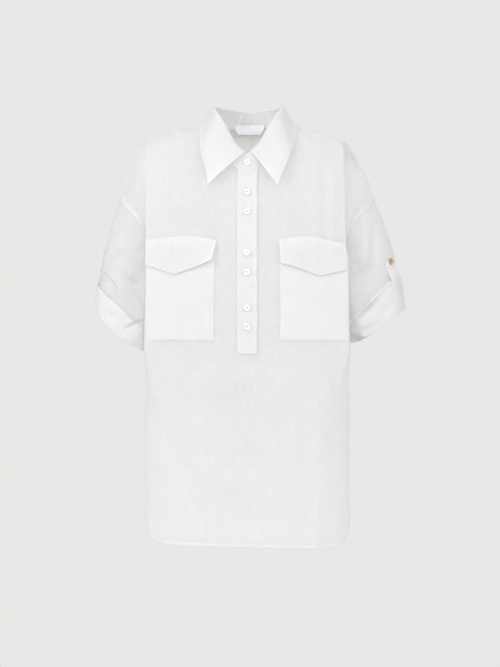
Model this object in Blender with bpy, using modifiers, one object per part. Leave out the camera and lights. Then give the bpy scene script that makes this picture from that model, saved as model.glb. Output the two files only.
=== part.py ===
"""A linen popover shirt with short turned-up sleeves, standing open as if worn, with no wearer.

Metres, +Z up. The front faces -Y and the wearer's left arm is at +X.
The origin is the middle of the neck opening, level with the inner ends of the shoulder seams.
"""

import math

import bmesh
import bpy
import numpy as np
from mathutils import Vector

MM = 0.001

# Cloth, seams and layers
CLOTH = 1.2 * MM
SEAM_GAP = 0.3 * MM
NARROWEST_MITRE = 0.5
LAYER = CLOTH + SEAM_GAP

# The cut of one half of the body, measured round the panel from the centre line
NECK_HALF = 78 * MM
CREST_ALONG = 178 * MM
EDGE_ALONG = 290 * MM
CHEST_ALONG = [150 * MM, 168 * MM, CREST_ALONG]
NECK_COLUMNS = [0, 14.5, 34, 52, 66, 75, 78]
SHOULDER_COLUMNS = [92, 111, 132, 150, 165, 174, 181, 192, 206, 228, 248, 268, 290]

# Heights and depths
UNDERARM_HEIGHT = -285 * MM
HEM_HEIGHT = -725.5 * MM
HEM_SLOPE = -0.02
FRONT_NECK_DROP = 87 * MM
BACK_NECK_RISE = 4 * MM
NECK_ROUNDNESS = 1.3
RIDGE_DEPTH = -12 * MM
FRONT_ROUNDING = 140 * MM
BACK_ROUNDING = 80 * MM
CHEST_BOW = 0.14
HALF_WIDTH = 179 * MM
SKIRT_SQUARENESS = 0.62
SKIRT_FLATNESS = 0.62
SKIRT_TOP = -300 * MM
SKIRT_FULL = -520 * MM
FOLD_FADE = 45 * MM

# Rows down a body panel
UNDERARM_SHARE = 0.5
UPPER_ROWS = 14
LOWER_ROWS = 7
ROW_CROWDING = 1.6

# Collar
STAND_THICK = 1.5 * MM
STAND_WIDTH = 60 * MM
STAND_SHIFT = 4.6 * MM
STAND_FRONT_DEPTH = 82 * MM
STAND_BACK_DEPTH = 64 * MM
STAND_LAP = 2.0 * MM
STAND_BOW = 1.2 * MM
STAND_RAISED = 1.3 * MM
STAND_END_ROUNDING = 5 * MM
END_DEGREES = 9
LAP_FADE_DEGREES = 50
LAP_OVER_DEGREES = 15
LAP_UNDER_DEGREES = 13
STAND_STEPS = 40
LEAF_STEPS = 32
LEAF_ROLL = [(-1.5, 2.3), (0.6, 3.0), (4.3, 1.2)]
LEAF_ACROSS = [0.1, 0.24, 0.42, 0.62, 0.82, 1.0]
LEAF_LEAN = 0.35

# Placket, pockets and buttons
PLACKET_HALF = 16.5 * MM
PLACKET_BELOW_NECK = 0.6 * MM
PLACKET_BOTTOM = -396 * MM
SLOT_BOTTOM = -381 * MM
PLACKET_EDGE_LIFTS = [0.1, 0.2, 0.4, 0.8, 1.2]
PLACKET_RIPPLE = 0.9 * MM
RIPPLE_TURN = 1.35
PLACKET_FOOT_LIFT = 0.9 * MM
PLACKET_FOOT_SHARE = 0.8
SLOT_END_COLUMNS = 3
UNDERLAP_HALF = 13.9 * MM
UNDERLAP_CLEARANCE = 1.2 * MM
PLACKET_ROWS = 20
BUTTON_HEIGHTS = [-121.7, -154.4, -225.2, -258.2, -318.4, -350.7]
COLLAR_BUTTON_HEIGHT = -69.5 * MM
BUTTON_RADIUS = 5.7 * MM
BUTTON_STEPS = 12
POCKET_TOP = -216 * MM
POCKET_BOTTOM = -373.5 * MM
POCKET_INNER = 55 * MM
POCKET_OUTER = 174 * MM
POCKET_COLUMNS, POCKET_ROWS = 9, 8
POCKET_TAPER = 2.5 * MM
POCKET_SLACK = 1.1 * MM
POCKET_LIFT = LAYER + 0.05 * MM

# Sleeves
SLEEVE_ROWS = 8
TURN_UP_ROWS = 4
TURN_UP = 36 * MM
TURN_UP_CLEARANCE = 2.2 * MM
SLEEVE_BULGE = 9 * MM
UNDERARM_SPREAD = 12 * MM
CUFF_DEPTH = 54 * MM
CUFF_BACK = 4 * MM

# Sleeve tabs
TAB_DEGREES = 11.5
TAB_INSIDE = 45 * MM
TAB_TIP = 11 * MM
TAB_TIP_CUTS = [4, 2, 0, 2, 4]
TAB_TIP_WIDTH = 0.8
TAB_BUTTON_LIFT = 3.0 * MM


def table(columns, *rows):
    """A short table as its named columns. Lengths are given in millimetres and kept in metres."""
    values = np.array(rows, float).T
    names = columns.split()
    return {name: column * (1 if name == "share" else MM) for name, column in zip(names, values)}


# The shoulder seam, from the neck out along the dropped shoulder to the armhole
SHOULDER = table(
    "along x z",
    (0, 0, 30),
    (40, 40, 20),
    (78, 78, 0),
    (116, 116, -5),
    (153, 151, -17),
    (176, 171.5, -26),
    (209, 192, -52),
    (251, 209, -90),
    (290, 222.5, -130),
)

# How far the front and back centre lines lie from the middle plane
CENTRE_DEPTH = table(
    "height front back",
    (-740, 106, 106),
    (-600, 108, 108),
    (-450, 112, 110),
    (-285, 114, 111),
    (-220, 111, 110),
    (-150, 103, 108),
    (-80, 91, 103),
    (0, 76, 98),
    (30, 74, 92),
)

# The fold that drops from the shoulder in front of each armhole, and the cloth behind it:
# a valley, the cap over the arm, and the edge that is the armhole seam and then the side seam
VALLEY_ALONG, CAP_ALONG = 206 * MM, 246 * MM
VALLEY = table(
    "share front_x front_y back_x back_y",
    (0.0, 190, -13, 190, -13),
    (1 / 12, 189, -36, 190.5, 12),
    (2 / 12, 186, -58, 189, 40),
    (3 / 12, 178, -70, 184, 62),
    (4 / 12, 171, -76, 176, 77),
    (5 / 12, 166, -76, 168, 76),
    (0.5, 165, -74, 167, 75),
    (0.65, 172, -70, 173, 70),
    (1.0, 175, -70, 175, 70),
)
CAP = table(
    "share front_x front_y back_x back_y",
    (0.0, 207, -14, 207, -14),
    (1 / 12, 204, -35, 209, 8),
    (2 / 12, 197, -54, 205, 36),
    (3 / 12, 185, -63, 195, 56),
    (4 / 12, 172, -66, 178, 70),
    (5 / 12, 160, -58, 163, 60),
    (0.5, 155, -40, 155, 40),
    (0.65, 166, -36, 166, 36),
    (1.0, 174, -34, 174, 36),
)
EDGE = table(
    "share front_x front_y back_x back_y",
    (0.0, 222.5, -16, 222.5, -16),
    (1 / 12, 216, -38, 226, 10),
    (2 / 12, 198, -58, 215, 41),
    (3 / 12, 178, -64, 193, 60),
    (4 / 12, 166, -57, 173, 62),
    (5 / 12, 156, -37, 158, 42),
    (0.5, 150, 0, 150, 0),
    (0.65, 164, 0, 164, 0),
    (1.0, 178, 0, 178, 0),
)
FOLD_SOFTNESS = {-1: 0.35, 1: 0.0}

# How far the shirt-tail hem rises above its lowest line, towards the side seam
HEM_RISE = table(
    "along rise",
    (0, 0),
    (146, 0),
    (173, 3),
    (198, 10),
    (218, 22),
    (240, 38),
    (262, 52),
    (290, 60),
)

# The largest soft folds: where each runs, how wide and deep it is, and the heights it fades between
FRONT_FOLDS = table(
    "x half_width depth top bottom",
    (-72, 26, 2.6, -420, -735),
    (-8, 22, -2.2, -430, -700),
    (64, 24, 2.4, -400, -735),
    (121, 13, 3.0, -450, -735),
    (118, 12, 3.0, -60, -190),
    (146, 9, 2.4, -45, -200),
)
BACK_FOLDS = table(
    "x half_width depth top bottom",
    (-98, 26, 8.0, -150, -780),
    (-34, 28, 5.0, -300, -780),
    (38, 26, 6.5, -240, -780),
    (108, 24, 8.5, -140, -780),
)

# The top of the collar stand, by the angle round the neck from the front
STAND_TOP = table("degrees height", (0, -57), (19, -40), (39, -8), (60, 18), (90, 35), (135, 37), (180, 35))

# The outer edge of each collar leaf, from its point round to the middle of the back
LEAF_EDGE = {
    -1: table(
        "degrees x y height",
        (4, -64, -113, -105),
        (22, -70, -99, -84),
        (42, -77, -86, -62),
        (62, -82.5, -58, -29),
        (90, -84, -12, 4.5),
        (125, -70, 52, 3),
        (155, -36, 84, -4),
        (180, 3, 95, -7),
    ),
    1: table(
        "degrees x y height",
        (7, 52.5, -113.5, -108),
        (24, 62, -100, -84),
        (44, 73, -87, -58),
        (64, 83, -58, -27),
        (90, 90, -12, 4.5),
        (125, 74, 52, 3),
        (155, 40, 84, -4),
        (180, 3, 95, -7),
    ),
}
LEAF_BULGE = {-1: 4.2 * MM, 1: 3.4 * MM}

# The flaps' seam line and lower edge: place across the chest, seam height and lower edge height
FLAP = {
    -1: table(
        "x seam lower lift",
        (52, -205, -238, 9.5),
        (76, -199, -247, 7.5),
        (100, -197, -254.5, 6.5),
        (121, -198, -262, 5.5),
        (148, -200, -254, 5.6),
        (176, -202.5, -245, 6.4),
    ),
    1: table(
        "x seam lower lift",
        (54, -203.5, -243, 7.5),
        (77, -199, -248.5, 6.5),
        (99, -197.5, -256, 6),
        (121, -200, -264.3, 5.6),
        (148, -205.5, -259, 6.4),
        (177, -211, -253, 7.4),
    ),
}
FLAP_ROWS = [0.0, 0.18, 0.36, 0.6, 0.8, 1.0]
FLAP_LIFT_SHARES = [0.1, 0.48, 0.62, 0.76, 0.88, 1.0]
FLAP_COLUMNS = 12
FLAP_NARROWING = {-1: 7.5 * MM, 1: 3.5 * MM}

# Each sleeve's lower edge in the front view: its outer and inner ends
CUFF = {
    -1: {"outer": (-262, -300), "inner": (-179, -389)},
    1: {"outer": (273, -306), "inner": (180, -381)},
}
TAB_ANGLE = {-1: 4.0, 1: 34.0}
TAB_BUTTON_SHARE = {-1: 0.60, 1: 0.56}

LINEN = (0.86, 0.85, 0.83)
LINEN_DOUBLE = (0.90, 0.90, 0.89)
SHELL_WHITE = (0.88, 0.85, 0.80)
SATIN_WHITE = (0.85, 0.86, 0.90)


def through(stations, values, at):
    """A smooth curve through the values at the stations that never overshoots them."""
    stations = np.asarray(stations, float)
    values = np.asarray(values, float)
    at = np.clip(at, stations[0], stations[-1])
    steps = np.diff(stations)
    slopes = np.diff(values) / steps
    before, after = slopes[:-1], slopes[1:]
    same_way = before * after > 0
    total = np.where(same_way, before + after, 1.0)
    inner = np.where(same_way, 2 * before * after / total, 0.0)
    tangents = np.concatenate([slopes[:1], inner, slopes[-1:]])
    index = np.clip(np.searchsorted(stations, at, side="right") - 1, 0, len(steps) - 1)
    step = steps[index]
    share = (at - stations[index]) / step
    rise = values[index + 1] - values[index]
    bend = (1 - share) * (tangents[index] * step - rise) - share * (tangents[index + 1] * step - rise)
    return values[index] + share * rise + share * (1 - share) * bend


def smooth_step(value):
    """0 below 0, 1 above 1 and a soft rise between."""
    share = min(max(value, 0.0), 1.0)
    return share * share * (3 - 2 * share)


def skirt_turns():
    """The turns round the lower body's section, and the share of the way round at each of them."""
    turns = np.linspace(0, math.pi / 2, 91)
    x = HALF_WIDTH * np.sin(turns) ** SKIRT_SQUARENESS
    y = HALF_WIDTH * SKIRT_FLATNESS * np.maximum(np.cos(turns), 0) ** SKIRT_SQUARENESS
    lengths = np.concatenate([[0], np.cumsum(np.hypot(np.diff(x), np.diff(y)))])
    return lengths / lengths[-1], turns


SKIRT_SHARES, SKIRT_TURNS = skirt_turns()


def fold_relief(folds, x, height):
    """How far the soft folds push the cloth outwards at a place on the front or back."""
    relief = 0.0
    for centre, width, depth, top, bottom in zip(*folds.values()):
        down = smooth_step((top - height) / FOLD_FADE) * smooth_step((height - bottom) / FOLD_FADE + 1)
        relief += depth * down * math.exp(-(((x - centre) / width) ** 2))
    return relief


def shoulder_reach(along):
    """How far out from the centre the cloth of the panel's top edge lies."""
    return float(through(SHOULDER["along"], SHOULDER["x"], along))


def ridge_height(x):
    """The height of the shoulder line at a distance from the centre."""
    return float(through(SHOULDER["x"], SHOULDER["z"], abs(x)))


def panel_depth(face, x, height):
    """The depth of the front (face -1) or back (face 1) of the body at a place seen from the front."""
    column, rounding, folds = (
        ("front", FRONT_ROUNDING, FRONT_FOLDS) if face < 0 else ("back", BACK_ROUNDING, BACK_FOLDS)
    )
    flat = float(through(CENTRE_DEPTH["height"], CENTRE_DEPTH[column], height))
    flat *= 1 - CHEST_BOW * (x / HALF_WIDTH) ** 2
    flat += fold_relief(folds, x, height)
    drop = min(max((ridge_height(x) - height) / rounding, 0.0), 1.0)
    rounded = math.sqrt(1 - (1 - drop) ** 2)
    return RIDGE_DEPTH + (face * flat - RIDGE_DEPTH) * rounded


def neck_height(face, x):
    """The height of the neckline at a distance from the centre."""
    inside = max(1 - (x / NECK_HALF) ** 2, 0.0)
    return -FRONT_NECK_DROP * inside**NECK_ROUNDNESS if face < 0 else BACK_NECK_RISE * inside


def top_height(face, along):
    if along <= NECK_HALF:
        return neck_height(face, along)
    return ridge_height(shoulder_reach(along))


def hem_height(side, along):
    rise = float(through(HEM_RISE["along"], HEM_RISE["rise"], along))
    return HEM_HEIGHT + rise + HEM_SLOPE * side * min(along, HALF_WIDTH)


def row_height(face, side, along, share):
    """The height of a row of the body panel: level below the arm, and fanning out to the shoulder above."""
    top = top_height(face, along)
    if share <= UNDERARM_SHARE:
        return top + (UNDERARM_HEIGHT - top) * (share / UNDERARM_SHARE) ** ROW_CROWDING
    lower = (share - UNDERARM_SHARE) / (1 - UNDERARM_SHARE)
    return UNDERARM_HEIGHT + (hem_height(side, along) - UNDERARM_HEIGHT) * lower


def share_at(face, side, along, height):
    """The row of the body panel that passes through a height."""
    top = top_height(face, along)
    if height >= UNDERARM_HEIGHT:
        part = (top - height) / (top - UNDERARM_HEIGHT)
        return UNDERARM_SHARE * max(part, 0.0) ** (1 / ROW_CROWDING)
    hem = hem_height(side, along)
    return UNDERARM_SHARE + (1 - UNDERARM_SHARE) * (UNDERARM_HEIGHT - height) / (UNDERARM_HEIGHT - hem)


def line_place(line, face, share):
    """Where one of the valley, cap and edge lines lies, as x and y, at a share of the way down."""
    name = "front" if face < 0 else "back"
    x = float(through(line["share"], line[name + "_x"], share))
    y = float(through(line["share"], line[name + "_y"], share))
    return x, y


def skirt_place(face, side, along, height):
    """Where the rounded lower body lies at a height, as x and y: a squared ellipse, with the soft folds."""
    column, folds = ("front", FRONT_FOLDS) if face < 0 else ("back", BACK_FOLDS)
    depth = float(through(CENTRE_DEPTH["height"], CENTRE_DEPTH[column], height))
    turn = float(np.interp(along / EDGE_ALONG, SKIRT_SHARES, SKIRT_TURNS))
    x = HALF_WIDTH * math.sin(turn) ** SKIRT_SQUARENESS
    y = depth * max(math.cos(turn), 0.0) ** SKIRT_SQUARENESS
    return x, face * y + face * fold_relief(folds, side * x, height) * math.cos(turn) ** 0.5 if y > 0 else 0.0


def chest_place(face, side, along, share, height):
    """Where the upper body lies at a height, as x and y."""
    if along <= CHEST_ALONG[0]:
        x = shoulder_reach(along)
        return x, panel_depth(face, side * x, height)
    stations = [*CHEST_ALONG, VALLEY_ALONG, CAP_ALONG, EDGE_ALONG]
    places = []
    for station in CHEST_ALONG:
        x = shoulder_reach(station)
        places.append((x, panel_depth(face, side * x, row_height(face, side, station, share))))
    lines = [line_place(line, face, share) for line in (VALLEY, CAP, EDGE)]
    soft = FOLD_SOFTNESS[side]
    middle = [(a + b) / 2 for a, b in zip(places[-1], lines[1])]
    lines[0] = tuple(a + (b - a) * soft for a, b in zip(lines[0], middle))
    places += lines
    return tuple(float(through(stations, [place[axis] for place in places], along)) for axis in (0, 1))


def body_point(face, side, along, share):
    """A point of the body's outer surface: round the panel from the centre, and down it from the top."""
    height = row_height(face, side, along, share)
    low = smooth_step((SKIRT_TOP - height) / (SKIRT_TOP - SKIRT_FULL))
    x, y = chest_place(face, side, along, share, height)
    if low > 0:
        skirt_x, skirt_y = skirt_place(face, side, along, height)
        x, y = x + (skirt_x - x) * low, y + (skirt_y - y) * low
    return Vector((side * x, y, height))


def on_front(x, height, lift):
    """A point in front of the front panel, at a place seen from the front, lifted off it."""
    step = 1 * MM
    depth = panel_depth(-1, x, height)
    across = panel_depth(-1, x + step, height) - depth
    down = panel_depth(-1, x, height - step) - depth
    normal = Vector((across / step, -1, -down / step)).normalized()
    return Vector((x, depth, height)) + normal * lift


def row_shares():
    upper = [UNDERARM_SHARE * i / UPPER_ROWS for i in range(UPPER_ROWS)]
    lower = [UNDERARM_SHARE + (1 - UNDERARM_SHARE) * i / LOWER_ROWS for i in range(LOWER_ROWS + 1)]
    return upper + lower


def slot_share(along):
    return share_at(-1, 1, along, SLOT_BOTTOM)


def body_grid(face):
    """The rows and columns of points of the front or back panel, from the wearer's right to the left."""
    half = [value * MM for value in NECK_COLUMNS + SHOULDER_COLUMNS]
    columns = [(-1, along) for along in reversed(half[1:])] + [(1, along) for along in half]
    rows = [[body_point(face, side, along, share) for side, along in columns] for share in row_shares()]
    return np.array(rows)


def cuff_point(side, degrees):
    """A point of the sleeve's lower edge, by the angle round it from the outer arm towards the front."""
    outer, inner = (np.array(CUFF[side][end]) * MM for end in ("outer", "inner"))
    centre, reach = (outer + inner) / 2, (outer - inner) / 2
    across = math.cos(math.radians(degrees))
    forward = math.sin(math.radians(degrees))
    x, height = centre + reach * across
    return Vector((x, CUFF_BACK - CUFF_DEPTH * forward, height))


def armhole_point(side, degrees):
    """A point of the armhole seam: 0 at the shoulder, 180 under the arm, and the front between them."""
    turn = degrees % 360
    face, part = (-1, turn / 180) if turn <= 180 else (1, (360 - turn) / 180)
    return body_point(face, side, EDGE_ALONG, UNDERARM_SHARE * part)


def sleeve_point(side, degrees, share):
    """A point of the sleeve's outer surface, from the armhole seam at 0 to its lower edge at 1."""
    start, end = armhole_point(side, degrees), cuff_point(side, degrees)
    centre_start = (armhole_point(side, 0) + armhole_point(side, 180)) / 2
    centre_end = (cuff_point(side, 0) + cuff_point(side, 180)) / 2
    point = start.lerp(end, share)
    outwards = (point - centre_start.lerp(centre_end, share)).normalized()
    under = max(0.0, -math.cos(math.radians(degrees)))
    swell = math.sin(math.pi * min(max(share, 0.0), 1.0))
    away = Vector((side * UNDERARM_SPREAD * under, 0, 0))
    return point + outwards * SLEEVE_BULGE * swell * (1 - under) + away * swell


def sleeve_normal(side, degrees, share):
    """The direction straight out of the sleeve's surface."""
    turn = 4
    step = 0.02
    around = sleeve_point(side, degrees + turn, share) - sleeve_point(side, degrees - turn, share)
    down = sleeve_point(side, degrees, share + step) - sleeve_point(side, degrees, share - step)
    return (down.cross(around) * side).normalized() * -1


def sleeve_length(side, degrees):
    return (armhole_point(side, degrees) - cuff_point(side, degrees)).length


def sleeve_grid(side):
    """The sleeve's rings, from the armhole down to its lower edge and back up outside as the turn-up."""
    count = 2 * UPPER_ROWS
    turns = [360 * i / count for i in range(count)]
    shares = [row / SLEEVE_ROWS for row in range(SLEEVE_ROWS + 1)]
    rings = [[sleeve_point(side, turn, share) for turn in turns] for share in shares]
    half_gap = TURN_UP_CLEARANCE / 2
    lowest = []
    for turn in turns:
        edge = sleeve_point(side, turn, 1.0)
        down = (edge - sleeve_point(side, turn, 0.9)).normalized()
        lowest.append(edge + down * half_gap + sleeve_normal(side, turn, 1.0) * half_gap)
    rings.append(lowest)
    for row in range(TURN_UP_ROWS + 1):
        ring = []
        for turn in turns:
            share = 1 - TURN_UP / sleeve_length(side, turn) * row / TURN_UP_ROWS
            flare = TURN_UP_CLEARANCE * (1 + 0.5 * math.sin(math.pi * row / TURN_UP_ROWS))
            ring.append(sleeve_point(side, turn, share) + sleeve_normal(side, turn, share) * flare)
        rings.append(ring)
    return np.array(rings)


def grid_faces(points, wraps, missing=frozenset()):
    """The four corners of each cell of a grid of points, as row and column pairs."""
    rows, columns = points.shape[:2]
    cells = []
    for row in range(rows - 1):
        for column in range(columns if wraps else columns - 1):
            if (row, column) in missing:
                continue
            beside = (column + 1) % columns
            cells.append(((row, column), (row, beside), (row + 1, beside), (row + 1, column)))
    return cells


def place_key(point):
    return tuple(np.round(point, 7))


def add_normals(sums, points, cells, outwards):
    """Adds each cell's normal to the sums kept for the places of its corners."""
    for cell in cells:
        a, b, c, d = (points[corner] for corner in cell)
        normal = np.cross(c - a, d - b) * outwards
        for corner in cell:
            key = place_key(points[corner])
            sums[key] = sums.get(key, np.zeros(3)) + normal


def unit(vector):
    return vector / np.linalg.norm(vector)


def offsets_of(own, other, points):
    """The step inwards through the cloth at each point, which halves the angle where panels meet."""
    found = np.zeros_like(points)
    for index in np.ndindex(points.shape[:2]):
        key = place_key(points[index])
        straight = unit(own[key])
        shared = unit(straight + unit(other[key])) if key in other else straight
        found[index] = shared / max(float(shared @ straight), NARROWEST_MITRE)
    return found


def drawn_back(points, offsets, wraps):
    """The grid with its edges drawn back for the seam gap, and by more where panels meet at a sharp angle."""
    back = points.copy()
    pairs = [((0, slice(None)), (1, slice(None))), ((-1, slice(None)), (-2, slice(None)))]
    if not wraps:
        pairs += [((slice(None), 0), (slice(None), 1)), ((slice(None), -1), (slice(None), -2))]
    for edge, inside in pairs:
        towards = points[inside] - points[edge]
        gaps = 0.8 * SEAM_GAP * np.linalg.norm(offsets[edge], axis=1) ** 2
        back[edge] = back[edge] + towards / np.linalg.norm(towards, axis=1)[:, None] * gaps[:, None]
    return back


def link(name, mesh, material):
    obj = bpy.data.objects.new(name, mesh)
    mesh.materials.append(material)
    collection.objects.link(obj)
    mesh.shade_smooth()
    mesh.set_sharp_from_angle(angle=math.radians(40))
    return obj


def halves_of(points, cell):
    """A cell's two triangles, split along its shorter diagonal, so that both sides of the wall bend alike."""
    a, b, c, d = cell
    if np.linalg.norm(points[a] - points[c]) <= np.linalg.norm(points[b] - points[d]):
        return (a, b, c), (a, c, d)
    return (a, b, d), (b, c, d)


def cloth_wall(name, points, offsets, cells, material):
    """A closed wall of cloth: the outer grid, the same grid moved inwards, and the cut edges between them."""
    built = bmesh.new()
    outer, inner = {}, {}
    for cell in cells:
        for corner in cell:
            if corner not in outer:
                outer[corner] = built.verts.new(points[corner])
                inner[corner] = built.verts.new(points[corner] - offsets[corner] * CLOTH)
    sides = {}
    for cell in cells:
        for corners in halves_of(points, cell):
            built.faces.new([outer[corner] for corner in corners])
            built.faces.new([inner[corner] for corner in reversed(corners)])
        for start, end in zip(cell, cell[1:] + cell[:1]):
            if (end, start) in sides:
                del sides[(end, start)]
            else:
                sides[(start, end)] = True
    for start, end in sides:
        built.faces.new([outer[end], outer[start], inner[start], inner[end]])
    bmesh.ops.recalc_face_normals(built, faces=built.faces)
    mesh = bpy.data.meshes.new(name)
    built.to_mesh(mesh)
    built.free()
    return link(name, mesh, material)


def cloth_piece(name, points, towards, material, thickness=CLOTH, wraps=False):
    """An open sheet given its thickness by Solidify. Its outer side faces the given direction."""
    points = np.array(points, float)
    built = bmesh.new()
    verts = {index: built.verts.new(points[index]) for index in np.ndindex(points.shape[:2])}
    for cell in grid_faces(points, wraps):
        built.faces.new([verts[corner] for corner in cell])
    built.normal_update()
    facing = sum((face.normal.dot(towards(face.calc_center_median())) for face in built.faces))
    if facing < 0:
        bmesh.ops.reverse_faces(built, faces=built.faces)
    mesh = bpy.data.meshes.new(name)
    built.to_mesh(mesh)
    built.free()
    obj = link(name, mesh, material)
    thicken = obj.modifiers.new("cloth", "SOLIDIFY")
    thicken.thickness = thickness
    thicken.offset = -1
    return obj


def forwards(_point):
    return Vector((0, -1, 0))


def from_neck(point):
    """Away from the axis of the neck, and upwards."""
    return Vector((point.x - STAND_SHIFT, point.y, 0.02)).normalized()


def finish(name, colour, roughness):
    material = bpy.data.materials.new(name)
    material.use_nodes = True
    shader = material.node_tree.nodes["Principled BSDF"]
    shader.inputs["Base Color"].default_value = (*colour, 1)
    shader.inputs["Roughness"].default_value = roughness
    shader.inputs["Metallic"].default_value = 0
    return material


def make_body_and_sleeves(single):
    """The front, the back and the two sleeves, which share their directions at the seams between them."""
    grids = {"front_panel": body_grid(-1), "back_panel": body_grid(1)}
    grids["sleeve_right"] = sleeve_grid(-1)
    grids["sleeve_left"] = sleeve_grid(1)
    outwards = {"front_panel": -1, "back_panel": 1, "sleeve_right": -1, "sleeve_left": 1}
    centre = grids["front_panel"].shape[1] // 2
    shares = row_shares()
    slot_rows = range(sum(share < slot_share(0) - 1e-9 for share in shares))
    slot = frozenset((row, column) for row in slot_rows for column in (centre - 1, centre))
    grids["front_panel"] = with_slot_end(grids["front_panel"], centre, slot_rows[-1] + 1)
    sums = {True: {}, False: {}}
    for name, points in grids.items():
        wraps = name.startswith("sleeve")
        add_normals(sums[wraps], points, grid_faces(points, wraps), outwards[name])
    for name, points in grids.items():
        wraps = name.startswith("sleeve")
        cells = grid_faces(points, wraps, slot if name == "front_panel" else frozenset())
        offsets = offsets_of(sums[wraps], sums[not wraps], points)
        cloth_wall(name, drawn_back(points, offsets, wraps), offsets, cells, single)


def with_slot_end(points, centre, row):
    """The front's grid with the row at the foot of the placket slot moved to the slot's own height."""
    moved = points.copy()
    for column in range(points.shape[1]):
        above, below = points[row, column], points[row + 1, column]
        nearness = smooth_step(1.6 - abs(column - centre) / SLOT_END_COLUMNS)
        drop = (above[2] - SLOT_BOTTOM) / (above[2] - below[2]) * nearness
        moved[row, column] = above + (below - above) * drop
    return moved


def placket_point(x, bottom, down, lift):
    """A point of a placket strip, whose top edge follows the neckline under the collar stand."""
    top = neck_height(-1, abs(x)) - PLACKET_BELOW_NECK
    return on_front(x, top + (bottom - top) * down, lift)


def make_placket(double):
    """The buttonhole strip in front, and the button strip that fills the slot behind it."""
    columns = [-1, -0.6, 0, 0.6, 1]
    over, under = [], []
    for row in range(PLACKET_ROWS + 1):
        down = row / PLACKET_ROWS
        base = LAYER + PLACKET_FOOT_LIFT * smooth_step((down - PLACKET_FOOT_SHARE) * 7)
        ripple = PLACKET_RIPPLE * math.sin(row * RIPPLE_TURN) ** 2
        lifts = [base + lift * MM for lift in PLACKET_EDGE_LIFTS]
        lifts[-1] += ripple
        places = [(PLACKET_HALF * column, lift) for column, lift in zip(columns, lifts)]
        over.append([placket_point(x, PLACKET_BOTTOM, down, lift) for x, lift in places])
        foot = SLOT_BOTTOM + UNDERLAP_CLEARANCE
        under.append([placket_point(UNDERLAP_HALF * x, foot, down, -SEAM_GAP / 2) for x in (-1, 0, 1)])
    cloth_piece("placket_overlap", over, forwards, double)
    cloth_piece("placket_underlap", under, forwards, double)


def make_pocket(name, side, double):
    """A patch pocket, with its mouth a little open under the flap."""
    grid = []
    for row in range(POCKET_ROWS + 1):
        down = row / POCKET_ROWS
        height = POCKET_TOP + (POCKET_BOTTOM - POCKET_TOP) * down
        line = []
        for column in range(POCKET_COLUMNS + 1):
            across = column / POCKET_COLUMNS
            along = POCKET_INNER + (POCKET_OUTER - POCKET_INNER) * across + POCKET_TAPER * down * (1 - across)
            slack = POCKET_SLACK * math.sin(math.pi * across) * math.sin(math.pi * down)
            line.append(lifted(side, along, height, POCKET_LIFT + slack))
        grid.append(line)
    cloth_piece(name, grid, forwards, double)


def lifted(side, along, height, lift):
    """A point off the front panel, by its place on the cut and its height."""
    point = body_point(-1, side, along, share_at(-1, side, along, height))
    step = 1.5 * MM
    beside = body_point(-1, side, along + step, share_at(-1, side, along + step, height))
    lower = body_point(-1, side, along, share_at(-1, side, along, height - step))
    normal = (beside - point).cross(lower - point).normalized() * side
    return point + (normal if normal.y < 0 else -normal) * lift


def make_flap(name, side, double):
    """A pointed flap, sewn along its top edge and standing off the pocket below."""
    cut = FLAP[side]
    lines = []
    for row, lift_share in zip(FLAP_ROWS, FLAP_LIFT_SHARES):
        line = []
        for column in range(FLAP_COLUMNS + 1):
            across = column / FLAP_COLUMNS
            x = cut["x"][0] + (cut["x"][-1] - cut["x"][0]) * across
            seam = float(through(cut["x"], cut["seam"], x))
            lower = float(np.interp(x, cut["x"], cut["lower"]))
            lift = float(through(cut["x"], cut["lift"], x))
            height = seam + (lower - seam) * row
            along = x + FLAP_NARROWING[side] * row * (1 - across) ** 2
            base = LAYER + 0.8 * MM * smooth_step((across - 0.75) / 0.2)
            line.append(lifted(side, along, height, base + (lift - base) * lift_share))
        lines.append(line)
    cloth_piece(name, lines, forwards, double)


def stand_foot(degrees):
    """The neckline, by the angle round the neck from the front, towards the wearer's left."""
    x = NECK_HALF * math.sin(math.radians(degrees))
    face = -1 if math.cos(math.radians(degrees)) > 0 else 1
    height = neck_height(face, abs(x))
    return Vector((x, panel_depth(face, x, height), height))


def stand_top(degrees):
    """The top edge of the collar stand, where the leaf turns over."""
    turn = math.radians(degrees)
    forward = math.cos(turn)
    reach = STAND_FRONT_DEPTH if forward > 0 else STAND_BACK_DEPTH
    depth = RIDGE_DEPTH - forward * (reach + (RIDGE_DEPTH if forward > 0 else -RIDGE_DEPTH))
    around = abs((degrees + 180) % 360 - 180)
    height = float(through(STAND_TOP["degrees"] / MM, STAND_TOP["height"], around))
    return Vector((STAND_WIDTH * math.sin(turn) + STAND_SHIFT * (1 - forward) / 2, depth, height))


def make_collar_stand(double):
    """One strip round the neck, its ends lapped at the front with the wearer's right end on top."""
    start, end = LAP_OVER_DEGREES, -360 - LAP_UNDER_DEGREES
    shares = (0.0, 0.35, 0.7, 1.0)
    strip = []
    for step in range(STAND_STEPS + 1):
        degrees = start + (end - start) * step / STAND_STEPS
        foot, top = stand_foot(degrees), stand_top(degrees)
        outwards = Vector((foot.x, foot.y, 0)).normalized()
        travelled = start - degrees
        left = start - end - travelled
        lap = smooth_step(left / LAP_FADE_DEGREES) - smooth_step(travelled / LAP_FADE_DEGREES)
        rounding = smooth_step(1 - travelled / END_DEGREES) + smooth_step(1 - left / END_DEGREES)
        foot += outwards * lap * STAND_LAP + Vector((0, 0, STAND_RAISED))
        top += outwards * lap * STAND_LAP
        top += (foot - top).normalized() * rounding * STAND_END_ROUNDING
        bow = outwards * STAND_BOW
        strip.append([foot.lerp(top, share) + bow * math.sin(math.pi * share) for share in shares])
    cloth_piece("collar_stand", strip, from_neck, double, STAND_THICK)


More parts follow.
